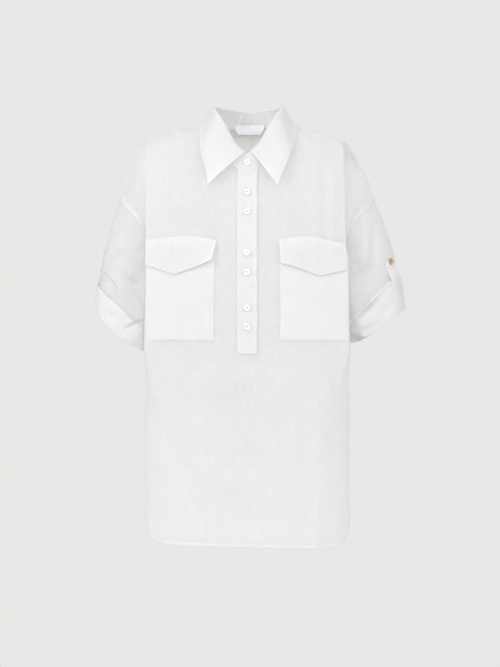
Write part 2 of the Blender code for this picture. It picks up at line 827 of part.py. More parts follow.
def leaf_edge(side, degrees):
    cut = LEAF_EDGE[side]
    places = [float(through(cut["degrees"] / MM, cut[axis], degrees)) for axis in ("x", "y", "height")]
    return Vector(places)


def make_collar_leaf(double):
    """The collar leaf, which turns over the top of the stand and lies on the shoulders."""
    strip = []
    first, last = -LEAF_EDGE[-1]["degrees"][0] / MM, LEAF_EDGE[1]["degrees"][0] / MM - 360
    for step in range(LEAF_STEPS + 1):
        degrees = first + (last - first) * step / LEAF_STEPS
        around = abs((degrees + 180) % 360 - 180)
        side = -1 if -180 <= degrees else 1
        top, edge = stand_top(degrees), leaf_edge(side, around)
        outwards = Vector((top.x - STAND_SHIFT, top.y, 0)).normalized()
        along_top = stand_top(degrees - 1) - stand_top(degrees + 1)
        up = along_top.cross(outwards).normalized()
        up = up if up.z > 0 else -up
        line = [top + outwards * (out * MM) + up * (rise * MM) for out, rise in LEAF_ROLL]
        over = line[-1]
        stand_off = (outwards + Vector((0, 0, LEAF_LEAN))).normalized()
        for share in LEAF_ACROSS:
            bulge = LEAF_BULGE[side] * math.sin(math.pi * share)
            line.append(over + (edge - over) * share + stand_off * bulge)
        strip.append(line)
    cloth_piece("collar_leaf", strip, from_neck, double)


def make_button(name, centre, facing, shell):
    """A turned button with a rim and a dished middle."""
    radius = BUTTON_RADIUS
    profile = [
        (0.0, 1.5 * MM),
        (0.5 * radius, 1.5 * MM),
        (0.72 * radius, 2.3 * MM),
        (0.93 * radius, 2.1 * MM),
        (radius, 1.2 * MM),
        (0.86 * radius, 0.2 * MM),
        (0.5 * radius, 0.0),
        (0.0, 0.0),
    ]
    mesh = bpy.data.meshes.new(name)
    mesh.from_pydata([(x, 0, z) for x, z in profile], [(i, i + 1) for i in range(len(profile) - 1)], [])
    obj = bpy.data.objects.new(name, mesh)
    mesh.materials.append(shell)
    collection.objects.link(obj)
    turned = obj.modifiers.new("turned", "SCREW")
    turned.steps = turned.render_steps = BUTTON_STEPS
    turned.use_merge_vertices = True
    turned.merge_threshold = 0.01 * MM
    turned.use_smooth_shade = True
    obj.rotation_euler = facing.to_track_quat("Z", "Y").to_euler()
    obj.location = centre
    return obj


def make_front_buttons(shell):
    top = stand_foot(0).lerp(stand_top(0), 0.55)
    facing = Vector((0, -1, 0.1)).normalized()
    centre = Vector((0.4 * MM, top.y, COLLAR_BUTTON_HEIGHT)) + facing * (STAND_LAP + 1.7 * MM)
    make_button("button_1", centre, facing, shell)
    for index, height in enumerate(BUTTON_HEIGHTS):
        seat = on_front(0, height * MM, LAYER + 0.4 * MM + 0.9 * MM)
        facing = (seat - on_front(0, height * MM, 0)).normalized()
        make_button(f"button_{index + 2}", seat, facing, shell)


def tab_stations(side):
    """Down the tab's middle: the share of the sleeve's length, and how far the tab lies off its surface."""
    length = sleeve_length(side, TAB_ANGLE[side])
    top_share = TAB_BUTTON_SHARE[side] - TAB_TIP / length
    inside = -(CLOTH + LAYER + 1.2 * MM)
    round_edge = TURN_UP_CLEARANCE + LAYER + 2.4 * MM
    stations = [(share, inside) for share in np.linspace(1 - TAB_INSIDE / length, 0.985, 5)]
    stations += [(1 + 5.4 * MM / length, -2.4 * MM), (1 + 7.6 * MM / length, 1.4 * MM)]
    stations += [(1 + 5.0 * MM / length, round_edge - 0.6 * MM)]
    for share in np.linspace(0.97, top_share, 10):
        past = smooth_step((1 - TURN_UP / length - share) * length / (25 * MM) + 0.2)
        stations.append((share, round_edge + 0.4 * MM - (round_edge - 2.2 * MM) * past))
    return stations


def tab_point(side, place, share, lift):
    """A point of the tab, with its place across from -1 to 1."""
    degrees = TAB_ANGLE[side] + place * TAB_DEGREES
    inside = min(share, 1.0)
    beyond = sleeve_point(side, degrees, 1.0) - sleeve_point(side, degrees, 0.9)
    past_end = beyond.normalized() * max(share - 1.0, 0.0) * sleeve_length(side, TAB_ANGLE[side])
    return sleeve_point(side, degrees, inside) + past_end + sleeve_normal(side, degrees, inside) * lift


def make_tab(name, side, double):
    """A sleeve tab: from inside the sleeve, down round the turn-up and up outside to its pointed end."""
    stations = tab_stations(side)
    places = (-1, -0.5, 0, 0.5, 1)
    strip = [[tab_point(side, place, *station) for place in places] for station in stations[:-1]]
    share, lift = stations[-1]
    length = sleeve_length(side, TAB_ANGLE[side])
    tip = [(TAB_TIP_WIDTH * place, share + cut * MM / length) for place, cut in zip(places, TAB_TIP_CUTS)]
    strip.append([tab_point(side, *station, lift) for station in tip])
    centre = sleeve_point(side, TAB_ANGLE[side], 0.85)
    outwards = sleeve_normal(side, TAB_ANGLE[side], 0.85)

    def away(point):
        return outwards if (point - centre).dot(outwards) > 0 else -outwards

    cloth_piece(name, strip, away, double)


def make_tabs_and_buttons(double, shell):
    for side, hand in ((-1, "right"), (1, "left")):
        make_tab("tab_" + hand, side, double)
        share = TAB_BUTTON_SHARE[side]
        facing = sleeve_normal(side, TAB_ANGLE[side], share)
        make_button("tab_button_" + hand, tab_point(side, 0, share, TAB_BUTTON_LIFT), facing, shell)


def make_labels(satin):
    """A plain folded neck label and the plain size label beside it, sewn at the neck seam inside the back."""
    thickness = 0.9 * MM
    clear = STAND_THICK + SEAM_GAP + thickness + 0.5 * MM
    for name, left, right, up, down, mitre in (
        ("neck_label", -25, 33, 7, -10, 8),
        ("size_label", 37, 44, 6, -9, 0),
    ):
        rows = []
        for height, narrow in ((up, 0.0), (0, 0.5), (down, 1.0)):
            line = []
            for column in range(7):
                x = (left + mitre * narrow + (right - left - 2 * mitre * narrow) * column / 6) * MM
                degrees = 180 - math.degrees(math.asin(x / NECK_HALF))
                foot, top = stand_foot(degrees), stand_top(degrees)
                outwards = Vector((foot.x, foot.y, 0)).normalized()
                lean = (top - foot) * max(height, 0) * MM / (top.z - foot.z)
                fall = Vector((0, 0, min(height, 0) * MM))
                line.append(foot + lean + fall - outwards * clear)
            rows.append(line)
        cloth_piece(name, rows, forwards, satin, thickness)


for old in list(bpy.data.objects):
    bpy.data.objects.remove(old)
collection = bpy.data.collections.new("popover_shirt")
bpy.context.scene.collection.children.link(collection)

single_linen = finish("linen", LINEN, 0.85)
double_linen = finish("linen_double", LINEN_DOUBLE, 0.82)
shell_white = finish("shell_button", SHELL_WHITE, 0.25)
satin_white = finish("label_satin", SATIN_WHITE, 0.4)

make_body_and_sleeves(single_linen)
make_placket(double_linen)
for pocket_side, hand_name in ((-1, "right"), (1, "left")):
    make_pocket("pocket_" + hand_name, pocket_side, double_linen)
    make_flap("flap_" + hand_name, pocket_side, double_linen)
make_collar_stand(double_linen)
make_collar_leaf(double_linen)
make_front_buttons(shell_white)
make_tabs_and_buttons(double_linen, shell_white)
make_labels(satin_white)
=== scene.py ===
"""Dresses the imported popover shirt: fine linen shells, seams, stitches, pearl buttons and labels.

Metres, +Z up. The front faces -Y and the wearer's left arm is at +X.
Side -1 is the wearer's right and side 1 the left. Face -1 is the front and face 1 the back.
"""

import functools
import math

import bmesh
import bpy
import numpy as np
from mathutils import Matrix, Vector


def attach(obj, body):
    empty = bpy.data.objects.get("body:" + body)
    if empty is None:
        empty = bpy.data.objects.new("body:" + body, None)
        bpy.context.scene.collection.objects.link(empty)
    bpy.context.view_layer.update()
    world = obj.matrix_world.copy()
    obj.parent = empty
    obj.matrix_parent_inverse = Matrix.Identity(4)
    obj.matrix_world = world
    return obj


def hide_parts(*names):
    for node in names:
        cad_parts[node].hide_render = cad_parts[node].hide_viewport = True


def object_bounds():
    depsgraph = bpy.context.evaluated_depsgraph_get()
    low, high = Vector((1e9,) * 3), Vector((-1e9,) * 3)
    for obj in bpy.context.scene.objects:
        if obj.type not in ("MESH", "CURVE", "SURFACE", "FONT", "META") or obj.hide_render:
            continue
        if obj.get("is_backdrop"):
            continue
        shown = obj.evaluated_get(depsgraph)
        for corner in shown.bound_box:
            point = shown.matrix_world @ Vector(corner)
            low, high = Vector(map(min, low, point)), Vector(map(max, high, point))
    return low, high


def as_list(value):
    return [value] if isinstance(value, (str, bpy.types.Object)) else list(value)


bl_info = {
    "name": "Linen popover shirt",
    "version": (1, 0, 0),
    "blender": (4, 5, 0),
    "location": "3D View > Sidebar > Shirt",
    "description": "Makes the cloth, seams, buttons and labels of a linen popover shirt, and its stage",
    "category": "Object",
}

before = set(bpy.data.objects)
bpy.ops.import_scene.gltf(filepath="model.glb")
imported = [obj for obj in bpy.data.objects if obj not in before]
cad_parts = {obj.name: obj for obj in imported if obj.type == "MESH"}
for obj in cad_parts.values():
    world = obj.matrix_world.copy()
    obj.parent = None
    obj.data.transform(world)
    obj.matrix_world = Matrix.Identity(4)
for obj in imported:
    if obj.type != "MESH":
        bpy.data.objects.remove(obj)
CAD_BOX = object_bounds()

MM = 0.001
CLOTH = 1.2 * MM
LAYER = 1.5 * MM

# The cut of one half of the body, measured round the panel from the centre line
NECK_HALF = 78 * MM
FLAT_ALONG = 150 * MM
TURN_ALONG = 168 * MM
CREST_ALONG = 178 * MM
CREST_END_ALONG = 186 * MM
VALLEY_ALONG = 206 * MM
CAP_ALONG = 246 * MM
EDGE_ALONG = 290 * MM
SLOT_HALF = 14.5 * MM

# Heights and depths of the body
UNDERARM_HEIGHT = -285 * MM
HEM_HEIGHT = -725.5 * MM
HEM_SLOPE = -0.02
FRONT_NECK_DROP = 87 * MM
BACK_NECK_RISE = 4 * MM
RIDGE_DEPTH = -12 * MM
FRONT_ROUNDING = 140 * MM
BACK_ROUNDING = 80 * MM
CHEST_BOW = 0.14
HALF_WIDTH = 179 * MM
SKIRT_SQUARENESS = 0.53
SKIRT_TOP = -300 * MM
SKIRT_FULL = -520 * MM
UNDERARM_SHARE = 0.5
ROW_CROWDING = 1.6
SIDE_SWELL = 7.5 * MM
SWELL_HEIGHT = -392 * MM
SWELL_HALF_HEIGHT = 56 * MM
SWELL_ALONG = 190 * MM
SWELL_HALF_WIDTH = 34 * MM

# Where the creases fade out towards a sewn edge, and how steep the lip of a lapped one is
TOP_FADE = 16 * MM
SIDE_FADE = 22 * MM
LAP_STEP = 2.4 * MM

# How finely the cloth is divided
UPPER_ROWS = 72
LOWER_ROWS = 112
COLUMN_STEP = 3.5 * MM
SLEEVE_ROWS = 104
SLEEVE_COLUMNS = 232
TURN_UP_ROWS = 26

# Raised seam bands: the distances in from the edge where each starts and ends, and its rise
ARMHOLE_BAND = (0.2 * MM, 8.6 * MM, 0.75 * MM)
SHOULDER_BAND = (0.2 * MM, 6.4 * MM, 0.9 * MM)
HEM_BAND = (0.1 * MM, 6.4 * MM, 0.8 * MM)
BAND_PROFILE = [(0.0, 0.05), (0.05, 0.5), (0.2, 0.85), (0.8, 0.85), (0.95, 0.5), (1.0, 0.05)]

# Collar
STAND_THICK = 1.5 * MM
STAND_WIDTH = 60 * MM
STAND_SHIFT = 4.6 * MM
STAND_FRONT_DEPTH = 82 * MM
STAND_BACK_DEPTH = 64 * MM
STAND_LAP = 2.0 * MM
LAP_OVER_DEGREES = 15
LAP_UNDER_DEGREES = 13

# Placket, pockets and buttons
PLACKET_HALF = 16.5 * MM
PLACKET_BELOW_NECK = 0.6 * MM
PLACKET_BOTTOM = -396 * MM
SLOT_BOTTOM = -381 * MM
UNDERLAP_HALF = 13.9 * MM
COLLAR_BUTTON_HEIGHT = -69.5 * MM
BUTTON_RADIUS = 5.7 * MM
BUTTON_THICK = 2.0 * MM
HOLE_RADIUS = 0.72 * MM
HOLE_PLACE = 1.15 * MM
# Each step of a button's face, from its rim inwards: how far in, and how far up or down, in millimetres
BUTTON_STEPS = [(0.5, 0.25), (0.9, 0.05), (0.5, -0.35), (0.9, -0.4), (0.9, -0.1)]
# The button on the tab of the wearer's left is a dark brown copy of the shell button: painted shade
BUTTON_FINISH = {"button_1": "golden_button", "tab_button_left": "brown_button"}
STRANDS = [(0, -0.32 * MM, 1.62 * MM), (0, 0, 1.74 * MM), (0, 0.32 * MM, 1.62 * MM)]
STRAND_RADIUS = 0.17 * MM
STRAND_LENGTH = 2.7 * MM
POCKET_TOP = -216 * MM
POCKET_BOTTOM = -373.5 * MM
POCKET_INNER = 55 * MM
POCKET_OUTER = 174 * MM

# Sleeves and their tabs
TURN_UP_CLEARANCE = 2.2 * MM
SLEEVE_BULGE = 9 * MM
SLEEVE_RADIUS = 62 * MM
UNDERARM_SPREAD = 12 * MM
CORNER_PUSH = (-7 * MM, -22 * MM)
CUFF_DEPTH = 54 * MM
CUFF_FRONT = 68 * MM
CUFF_BACK = 4 * MM
TAB_DEGREES = 11.5
TAB_INSIDE = 45 * MM
TAB_ANGLE = {-1: 4.0, 1: 39.0}
TAB_BUTTON_SHARE = {-1: 0.60, 1: 0.56}

# Topstitching: the rings along half a stitch and how full each is, its size, and the tab's first outer row
STITCH = [(-1.0, 0.0), (-0.55, 1.0), (0.55, 1.0), (1.0, 0.0)]
STITCH_HALF_WIDTH = 0.2 * MM
STITCH_RISE = 0.12 * MM
TAB_OUTER_ROW = 40

# Each label's left and right end, top, bottom and the slant of its ends, in millimetres
LABELS = {"size_label": (37, 44, 6, -9, 0), "neck_label": (-25, 33, 7, -10, 8)}

# Stage
CAMERA_PLACE = (0.005, -3.2, -0.362)
CAMERA_LENS = 98.4
BACKGROUND = (0.807, 0.807, 0.791)
FLOOR_HEIGHT = -1.75
CHEST = (0, 0, -0.15)
SHOULDERS = (0, 0.05, 0)

HANDS = {-1: "right", 1: "left"}
FACES = {-1: "front", 1: "back"}
FORWARDS = np.array([0, -1.0, 0])


def table(columns, *rows):
    """A short table as its named columns. Lengths are given in millimetres and kept in metres."""
    values = np.array(rows, float).T
    names = columns.split()
    plain = ("share", "degrees", "across", "forward")
    return {name: column * (1 if name in plain else MM) for name, column in zip(names, values)}


SHOULDER = table(
    "along x z",
    (0, 0, 30),
    (40, 40, 20),
    (78, 78, 0),
    (116, 116, -5),
    (153, 151, -17),
    (176, 171.5, -25),
    (209, 193.5, -50.5),
    (251, 211, -89),
    (290, 222.5, -130),
)
CENTRE_DEPTH = table(
    "height front back",
    (-740, 106, 106),
    (-600, 108, 108),
    (-450, 112, 110),
    (-285, 114, 111),
    (-220, 111, 110),
    (-150, 103, 108),
    (-80, 91, 103),
    (0, 76, 98),
    (30, 74, 92),
)
# The deep fold beside the chest: its valley, the cap outside it and the sewn edge, by share of the way down
VALLEY = table(
    "share front_x front_y back_x back_y",
    (0.0, 190, -13, 190, -13),
    (1 / 12, 189, -36, 190.5, 12),
    (2 / 12, 186, -58, 189, 40),
    (3 / 12, 178, -70, 184, 62),
    (4 / 12, 171, -76, 176, 77),
    (5 / 12, 166, -76, 168, 76),
    (0.5, 165, -74, 167, 75),
    (0.65, 172, -70, 173, 70),
    (1.0, 175, -70, 175, 70),
)
CAP = table(
    "share front_x front_y back_x back_y",
    (0.0, 207, -14, 207, -14),
    (1 / 12, 204, -35, 209, 8),
    (2 / 12, 197, -54, 205, 36),
    (3 / 12, 185, -63, 195, 56),
    (4 / 12, 172, -66, 178, 70),
    (5 / 12, 160, -58, 163, 60),
    (0.5, 155, -40, 155, 40),
    (0.65, 166, -36, 166, 36),
    (1.0, 174, -34, 174, 36),
)
EDGE = table(
    "share front_x front_y back_x back_y",
    (0.0, 222.5, -16, 222.5, -16),
    (1 / 12, 216, -38, 226, 10),
    (2 / 12, 198, -58, 215, 41),
    (3 / 12, 178, -64, 193, 60),
    (4 / 12, 166, -57, 173, 62),
    (5 / 12, 156, -37, 158, 42),
    (0.5, 150, 0, 150, 0),
    (0.65, 164, 0, 164, 0),
    (1.0, 178, 0, 178, 0),
)
# How far that fold's valley is filled on each side
FOLD_SOFTNESS = {-1: 0.35, 1: 0.0}

# The crisp crest at the front of the wearer's left: how far it is drawn in, where it and its turned edge
# fade out below, and how far its valley is tucked behind it, outwards and back
CREST_SHIFT = 6 * MM
CREST_FOOT, CREST_FADE = -240 * MM, 45 * MM
TURN_FOOT, TURN_FADE = -300 * MM, 60 * MM
TUCK = (4 * MM, 8 * MM)

HEM_RISE = table(
    "along rise",
    (0, 0),
    (146, 0),
    (173, 3),
    (198, 10),
    (218, 22),
    (240, 38),
    (262, 52),
    (290, 60),
)
FRONT_FOLDS = table(
    "x half_width depth top bottom",
    (-72, 26, 2.6, -420, -735),
    (-8, 22, -2.2, -430, -700),
    (64, 24, 2.4, -400, -735),
    (121, 13, 3.0, -450, -735),
    (118, 12, 3.0, -60, -190),
    (146, 9, 2.4, -45, -200),
)
BACK_FOLDS = table(
    "x half_width depth top bottom",
    (-98, 26, 8.0, -150, -780),
    (-34, 28, 5.0, -300, -780),
    (38, 26, 6.5, -240, -780),
    (108, 24, 8.5, -140, -780),
)
STAND_TOP = table(
    "degrees height",
    (0, -57),
    (19, -40),
    (39, -8),
    (60, 16.6),
    (90, 32.4),
    (135, 34.4),
    (180, 32.4),
)
LEAF_EDGE = {
    -1: table(
        "degrees x y height",
        (4, -67, -114, -109),
        (22, -70, -99, -84),
        (42, -77, -86, -62),
        (62, -82.5, -58, -29),
        (90, -84, -12, 4.5),
        (125, -70, 52, 3),
        (155, -36, 84, -4),
        (180, 3, 95, -7),
    ),
    1: table(
        "degrees x y height",
        (7, 51.5, -113.5, -110.5),
        (24, 62, -100, -84),
        (44, 73, -87, -58),
        (64, 83, -58, -30),
        (90, 89, -12, 1),
        (125, 74, 52, 2),
        (155, 40, 84, -4),
        (180, 3, 95, -7),
    ),
}
LEAF_BULGE = {-1: 4.2 * MM, 1: 3.4 * MM}
LEAF_ROLL = [(-1.75, -0.8), (-1.75, 0.9), (-1.3, 2.3), (-0.4, 2.95), (0.8, 3.05), (2.6, 2.4), (4.3, 1.2)]
FLAP = {
    -1: table(
        "x seam lower lift",
        (52, -205, -238, 9.5),
        (76, -199, -247, 7.5),
        (100, -197, -254.5, 6.5),
        (121, -198, -262, 5.5),
        (148, -200, -254, 5.2),
        (174.5, -202.5, -245.5, 5.4),
    ),
    1: table(
        "x seam lower lift",
        (54, -203.5, -243, 7.5),
        (77, -199, -248.5, 6.5),
        (99, -197.5, -256, 6),
        (121, -200, -264.3, 5.6),
        (148, -205.5, -259, 5.6),
        (171.5, -210.5, -253.5, 4.6),
    ),
}
FLAP_ROWS = [0.0, 0.18, 0.36, 0.6, 0.8, 1.0]
FLAP_LIFT_SHARES = [0.1, 0.48, 0.62, 0.76, 0.88, 1.0]
FLAP_NARROWING = {-1: 7.5 * MM, 1: 3.5 * MM}
BUTTONS = table(
    "height degrees",
    (-121.7, 8),
    (-154.4, -20),
    (-225.2, 35),
    (-258.2, -8),
    (-318.4, 60),
    (-350.7, 15),
)
CUFF = {
    -1: {"outer": (-262, -300), "inner": (-179, -389)},
    1: {"outer": (273, -306), "inner": (180, -381)},
}
CUFF_SECTION = table(
    "degrees across forward",
    (0, 1, 0),
    (22, 0.95, 0.5),
    (45, 0.78, 0.84),
    (70, 0.4, 1.0),
    (90, 0.04, 1.03),
    (112, -0.4, 1.02),
    (135, -0.84, 0.97),
    (152, -1.1, 0.86),
    (166, -1.13, 0.5),
    (180, -1, 0),
    (200, -0.93, -0.5),
    (225, -0.72, -0.84),
    (270, 0, -1),
    (315, 0.72, -0.8),
    (338, 0.94, -0.42),
    (360, 1, 0),
)
CUFF_DROP = {
    -1: table(
        "across front back",
        (-1.13, -2, -4),
        (-0.64, 10, 5),
        (0, 23, 12),
        (0.56, 24, 15),
        (0.9, 15, 9),
        (1, 4, 4),
    ),
    1: table(
        "across front back",
        (-1.13, -28, -5),
        (-0.92, -18, -1),
        (-0.44, 4, 11),
        (0, 8, 14),
        (0.5, 10, 12),
        (0.9, 8, 6),
        (1, 3, 3),
    ),
}
TURN_UP_WIDTH = {
    -1: table(
        "degrees width",
        (0, 22),
        (30, 34),
        (60, 42),
        (90, 45),
        (120, 40),
        (150, 34),
        (180, 34),
        (270, 40),
        (330, 34),
        (360, 24),
    ),
    1: table(
        "degrees width",
        (0, 44),
        (30, 55),
        (60, 56),
        (90, 52),
        (120, 44),
        (150, 18),
        (180, 24),
        (270, 42),
        (360, 44),
    ),
}

# Creases: the line each follows seen from the front (x, height), its half width and its depth.
# A soft crease rises or sinks along its line. A lapped one stands up on the line's left and drops at it.
FRONT_CREASES = [
    ("soft", [(-100, -392), (-104, -450), (-108, -520), (-106, -590)], 15, -2.2),
    ("soft", [(22, -396), (6, -428), (12, -470), (20, -520)], 9, -2.2),
    ("soft", [(-40, -430), (-58, -470), (-52, -520)], 12, -1.6),
    ("soft", [(-10, -560), (14, -575), (40, -600)], 10, -1.6),
    ("soft", [(-70, -600), (-30, -620), (10, -640)], 12, 1.6),
    ("soft", [(114, -610), (116, -660), (118, -706)], 5, -2.2),
    ("soft", [(70, -420), (84, -500), (80, -590)], 16, 1.8),
    ("soft", [(150, -420), (154, -520), (152, -640)], 8, -1.8),
    ("soft", [(-150, -440), (-146, -500), (-152, -560)], 10, 1.4),
    ("soft", [(54, -12), (61, -31), (67, -50)], 5, 1.3),
    ("soft", [(75, -16), (82, -40)], 5, -1.2),
    ("soft", [(97, -12), (105, -38)], 6, 1.3),
    ("soft", [(-60, -14), (-72, -44)], 6, 0.9),
    ("soft", [(-100, -12), (-112, -60)], 9, 1.0),
    ("soft", [(116, -380), (150, -420), (168, -470)], 14, -1.6),
    ("soft", [(60, -400), (96, -450), (120, -540)], 16, 1.2),
    ("soft", [(-150, -400), (-110, -440), (-90, -520)], 14, 1.2),
    ("soft", [(-40, -410), (-30, -480), (-48, -560)], 15, -1.2),
    ("soft", [(-160, -560), (-130, -620), (-120, -700)], 12, 1.2),
    ("soft", [(20, -440), (34, -520), (24, -610)], 16, 1.1),
    ("soft", [(118, -600), (116, -735)], 6, 1.4),
]
BACK_CREASES = [
    ("soft", [(-60, -30), (-76, -90), (-84, -160)], 9, 1.6),
    ("soft", [(64, -28), (82, -86), (92, -170)], 10, 1.7),
    ("soft", [(-130, -60), (-120, -150), (-128, -240)], 12, -1.8),
    ("soft", [(0, -70), (8, -170), (-4, -280)], 16, 1.5),
    ("soft", [(136, -120), (120, -230), (128, -330)], 13, -1.7),
    ("soft", [(-70, -330), (-40, -400), (-50, -520)], 15, 1.6),
    ("soft", [(70, -360), (60, -470), (80, -600)], 16, -1.5),
    ("soft", [(-150, -420), (-132, -520), (-140, -640)], 13, 1.6),
]
SLEEVE_CREASES = {
    -1: [
        (
            "lapped",
            [(-256, -250), (-245, -257), (-234, -266), (-225, -275), (-221, -287), (-224, -301)],
            20,
            5.0,
        ),
        ("soft", [(-240, -228), (-226, -222), (-204, -212)], 7, -3.6),
        ("soft", [(-218, -256), (-204, -268), (-190, -273), (-176, -275)], 5, -4.6),
        ("soft", [(-214, -240), (-198, -250), (-180, -257)], 9, 3.0),
        ("soft", [(-232, -292), (-238, -284), (-244, -272)], 8, 3.0),
        ("lapped", [(-212, -353), (-202, -346), (-190, -341), (-174, -337)], 20, 2.4),
        ("soft", [(-210, -354), (-192, -346), (-176, -341)], 3.2, -2.4),
        ("soft", [(-218, -362), (-206, -370), (-196, -376)], 4, 2.0),
        ("soft", [(-206, -356), (-194, -368), (-186, -380)], 3.4, 2.2),
        ("soft", [(-196, -352), (-186, -364), (-178, -376)], 3.2, 2.2),
        ("soft", [(-248, -318), (-234, -330), (-220, -338)], 8, -1.8),
        ("soft", [(-186, -292), (-181, -303), (-178, -316)], 5, -3.4),
        ("soft", [(-196, -296), (-188, -312), (-182, -326)], 7, 2.6),
    ],
    1: [
        ("soft", [(221, -168), (217, -205), (214, -236), (208, -250)], 8, -5.0),
        ("soft", [(180, -256), (198, -253), (212, -246), (220, -236)], 5.5, -4.6),
        ("soft", [(196, -236), (206, -215), (210, -190)], 9, 2.6),
        ("lapped", [(176, -352), (182, -338), (194, -325), (212, -308), (232, -288)], 17, 6.5),
        ("soft", [(190, -332), (206, -318), (224, -303)], 4.2, -4.2),
        ("soft", [(188, -300), (202, -288), (218, -270)], 12, 3.0),
        ("soft", [(226, -334), (240, -322), (250, -304)], 7, -2.4),
        ("soft", [(246, -284), (256, -296), (262, -312)], 6, 2.4),
        ("soft", [(196, -350), (212, -340), (230, -326)], 8, 2.6),
        ("soft", [(184, -366), (198, -356), (214, -348)], 5, -2.4),
    ],
}
POCKET_CREASES = {
    -1: [
        ("soft", [(-100, -262), (-96, -310), (-88, -350)], 10, 0.8),
        ("soft", [(-136, -272), (-140, -330)], 12, 0.7),
        ("soft", [(-66, -300), (-78, -345)], 8, -0.7),
    ],
    1: [
        ("soft", [(140, -262), (128, -284), (112, -296)], 7, 1.0),
        ("soft", [(84, -262), (80, -330)], 9, 0.7),
        ("soft", [(150, -300), (146, -350)], 10, -0.7),
    ],
}
FLAP_CREASES = {
    -1: [
        ("soft", [(-128, -206), (-129, -232), (-127, -252)], 4.5, -1.3),
        ("soft", [(-112, -206), (-106, -244)], 9, 0.9),
        ("soft", [(-76, -210), (-70, -238)], 8, 0.8),
    ],
    1: [
        ("soft", [(80, -206), (86, -244)], 8, 0.9),
        ("soft", [(104, -206), (112, -250)], 7, -0.9),
        ("soft", [(146, -214), (150, -250)], 7, 0.8),
    ],
}
LEAF_CREASES = {
    1: [
        ("soft", [(54, -40), (62, -56), (66, -76)], 2.6, 1.5),
        ("soft", [(76, -36), (66, -56)], 2.8, 1.4),
        ("soft", [(64, -60), (60, -86)], 3.4, -1.2),
        ("soft", [(46, -62), (54, -74)], 3.0, 0.9),
    ],
    -1: [("soft", [(-60, -34), (-66, -70)], 8.0, 0.5)],
}
# Sine waves that cross and bend each other: the light rumple of worn linen
RUMPLE = table(
    "length lean height bend",
    (97, 36, 0.55, 20),
    (61, -44, 0.42, 31),
    (43, 13, 0.26, 17),
    (31, -9, 0.28, 23),
    (23, 19, 0.22, 11),
    (15, -13, 0.12, 9),
)


def through(stations, values, at):
    """A smooth curve through the values at the stations that never overshoots them."""
    stations = np.asarray(stations, float)
    at = np.clip(np.asarray(at, float), stations[0], stations[-1])
    shape = at.shape
    at = at.ravel()
    columns = np.asarray(values, float).reshape(len(stations), -1)
    steps = np.diff(stations)[:, None]
    slopes = np.diff(columns, axis=0) / steps
    before, after = slopes[:-1], slopes[1:]
    same_way = before * after > 0
    total = np.where(same_way, before + after, 1.0)
    inner = np.where(same_way, 2 * before * after / total, 0.0)
    tangents = np.concatenate([slopes[:1], inner, slopes[-1:]])
    index = np.clip(np.searchsorted(stations, at, side="right") - 1, 0, len(steps) - 1)
    place = np.arange(at.size) if columns.shape[1] > 1 else 0
    step = steps[index, 0]
    share = (at - stations[index]) / step
    low, rise = columns[index, place], columns[index + 1, place] - columns[index, place]
    bend = (1 - share) * (tangents[index, place] * step - rise)
    bend -= share * (tangents[index + 1, place] * step - rise)
    return (low + share * rise + share * (1 - share) * bend).reshape(shape)


def smooth_step(value):
    """0 below 0, 1 above 1 and a soft rise between."""
    share = np.clip(value, 0.0, 1.0)
    return share * share * (3 - 2 * share)


def point_of(x, y, z):
    return np.stack(np.broadcast_arrays(x, y, z), axis=-1).astype(float)


def unit(vectors):
    length = np.linalg.norm(vectors, axis=-1, keepdims=True)
    return vectors / np.maximum(length, 1e-12)


def skirt_turns():
    """The turns round the lower body's section, and the share of the way round at each of them."""
    turns = np.linspace(0, math.pi / 2, 91)
    x = HALF_WIDTH * np.sin(turns) ** SKIRT_SQUARENESS
    y = HALF_WIDTH * 0.62 * np.maximum(np.cos(turns), 0) ** SKIRT_SQUARENESS
    lengths = np.concatenate([[0], np.cumsum(np.hypot(np.diff(x), np.diff(y)))])
    return lengths / lengths[-1], turns


SKIRT_SHARES, SKIRT_TURNS = skirt_turns()


def fold_relief(folds, x, height):
    """How far the largest soft folds push the cloth outwards at a place on the front or back."""
    fade = 45 * MM
    relief = 0.0
    for centre, width, depth, top, bottom in zip(*folds.values()):
        down = smooth_step((top - height) / fade) * smooth_step((height - bottom + fade) / fade)
        relief = relief + depth * down * np.exp(-(((x - centre) / width) ** 2))
    return relief


def shoulder_reach(along):
    return through(SHOULDER["along"], SHOULDER["x"], along)


def ridge_height(x):
    return through(SHOULDER["x"], SHOULDER["z"], np.abs(x))


def panel_depth(face, x, height):
    """The depth of the front or back of the body at a place seen from the front."""
    column, rounding, folds = (
        ("front", FRONT_ROUNDING, FRONT_FOLDS) if face < 0 else ("back", BACK_ROUNDING, BACK_FOLDS)
    )
    flat = through(CENTRE_DEPTH["height"], CENTRE_DEPTH[column], height)
    flat = flat * (1 - CHEST_BOW * (x / HALF_WIDTH) ** 2) + fold_relief(folds, x, height)
    drop = np.clip((ridge_height(x) - height) / rounding, 0.0, 1.0)
    rounded = np.sqrt(1 - (1 - drop) ** 2)
    return RIDGE_DEPTH + (face * flat - RIDGE_DEPTH) * rounded


def neck_height(face, x):
    """The height of the neckline, between the inner ends of the shoulder seams."""
    inside = np.maximum(1 - (x / NECK_HALF) ** 2, 0.0)
    return -FRONT_NECK_DROP * inside**1.3 if face < 0 else BACK_NECK_RISE * inside


def top_height(face, along):
    """The height of a panel's top edge: the neckline, then the shoulder seam."""
    on_shoulder = ridge_height(shoulder_reach(along))
    return np.where(along <= NECK_HALF, neck_height(face, along), on_shoulder)


def hem_height(side, along):
    rise = through(HEM_RISE["along"], HEM_RISE["rise"], along)
    return HEM_HEIGHT + rise + HEM_SLOPE * side * np.minimum(along, HALF_WIDTH)


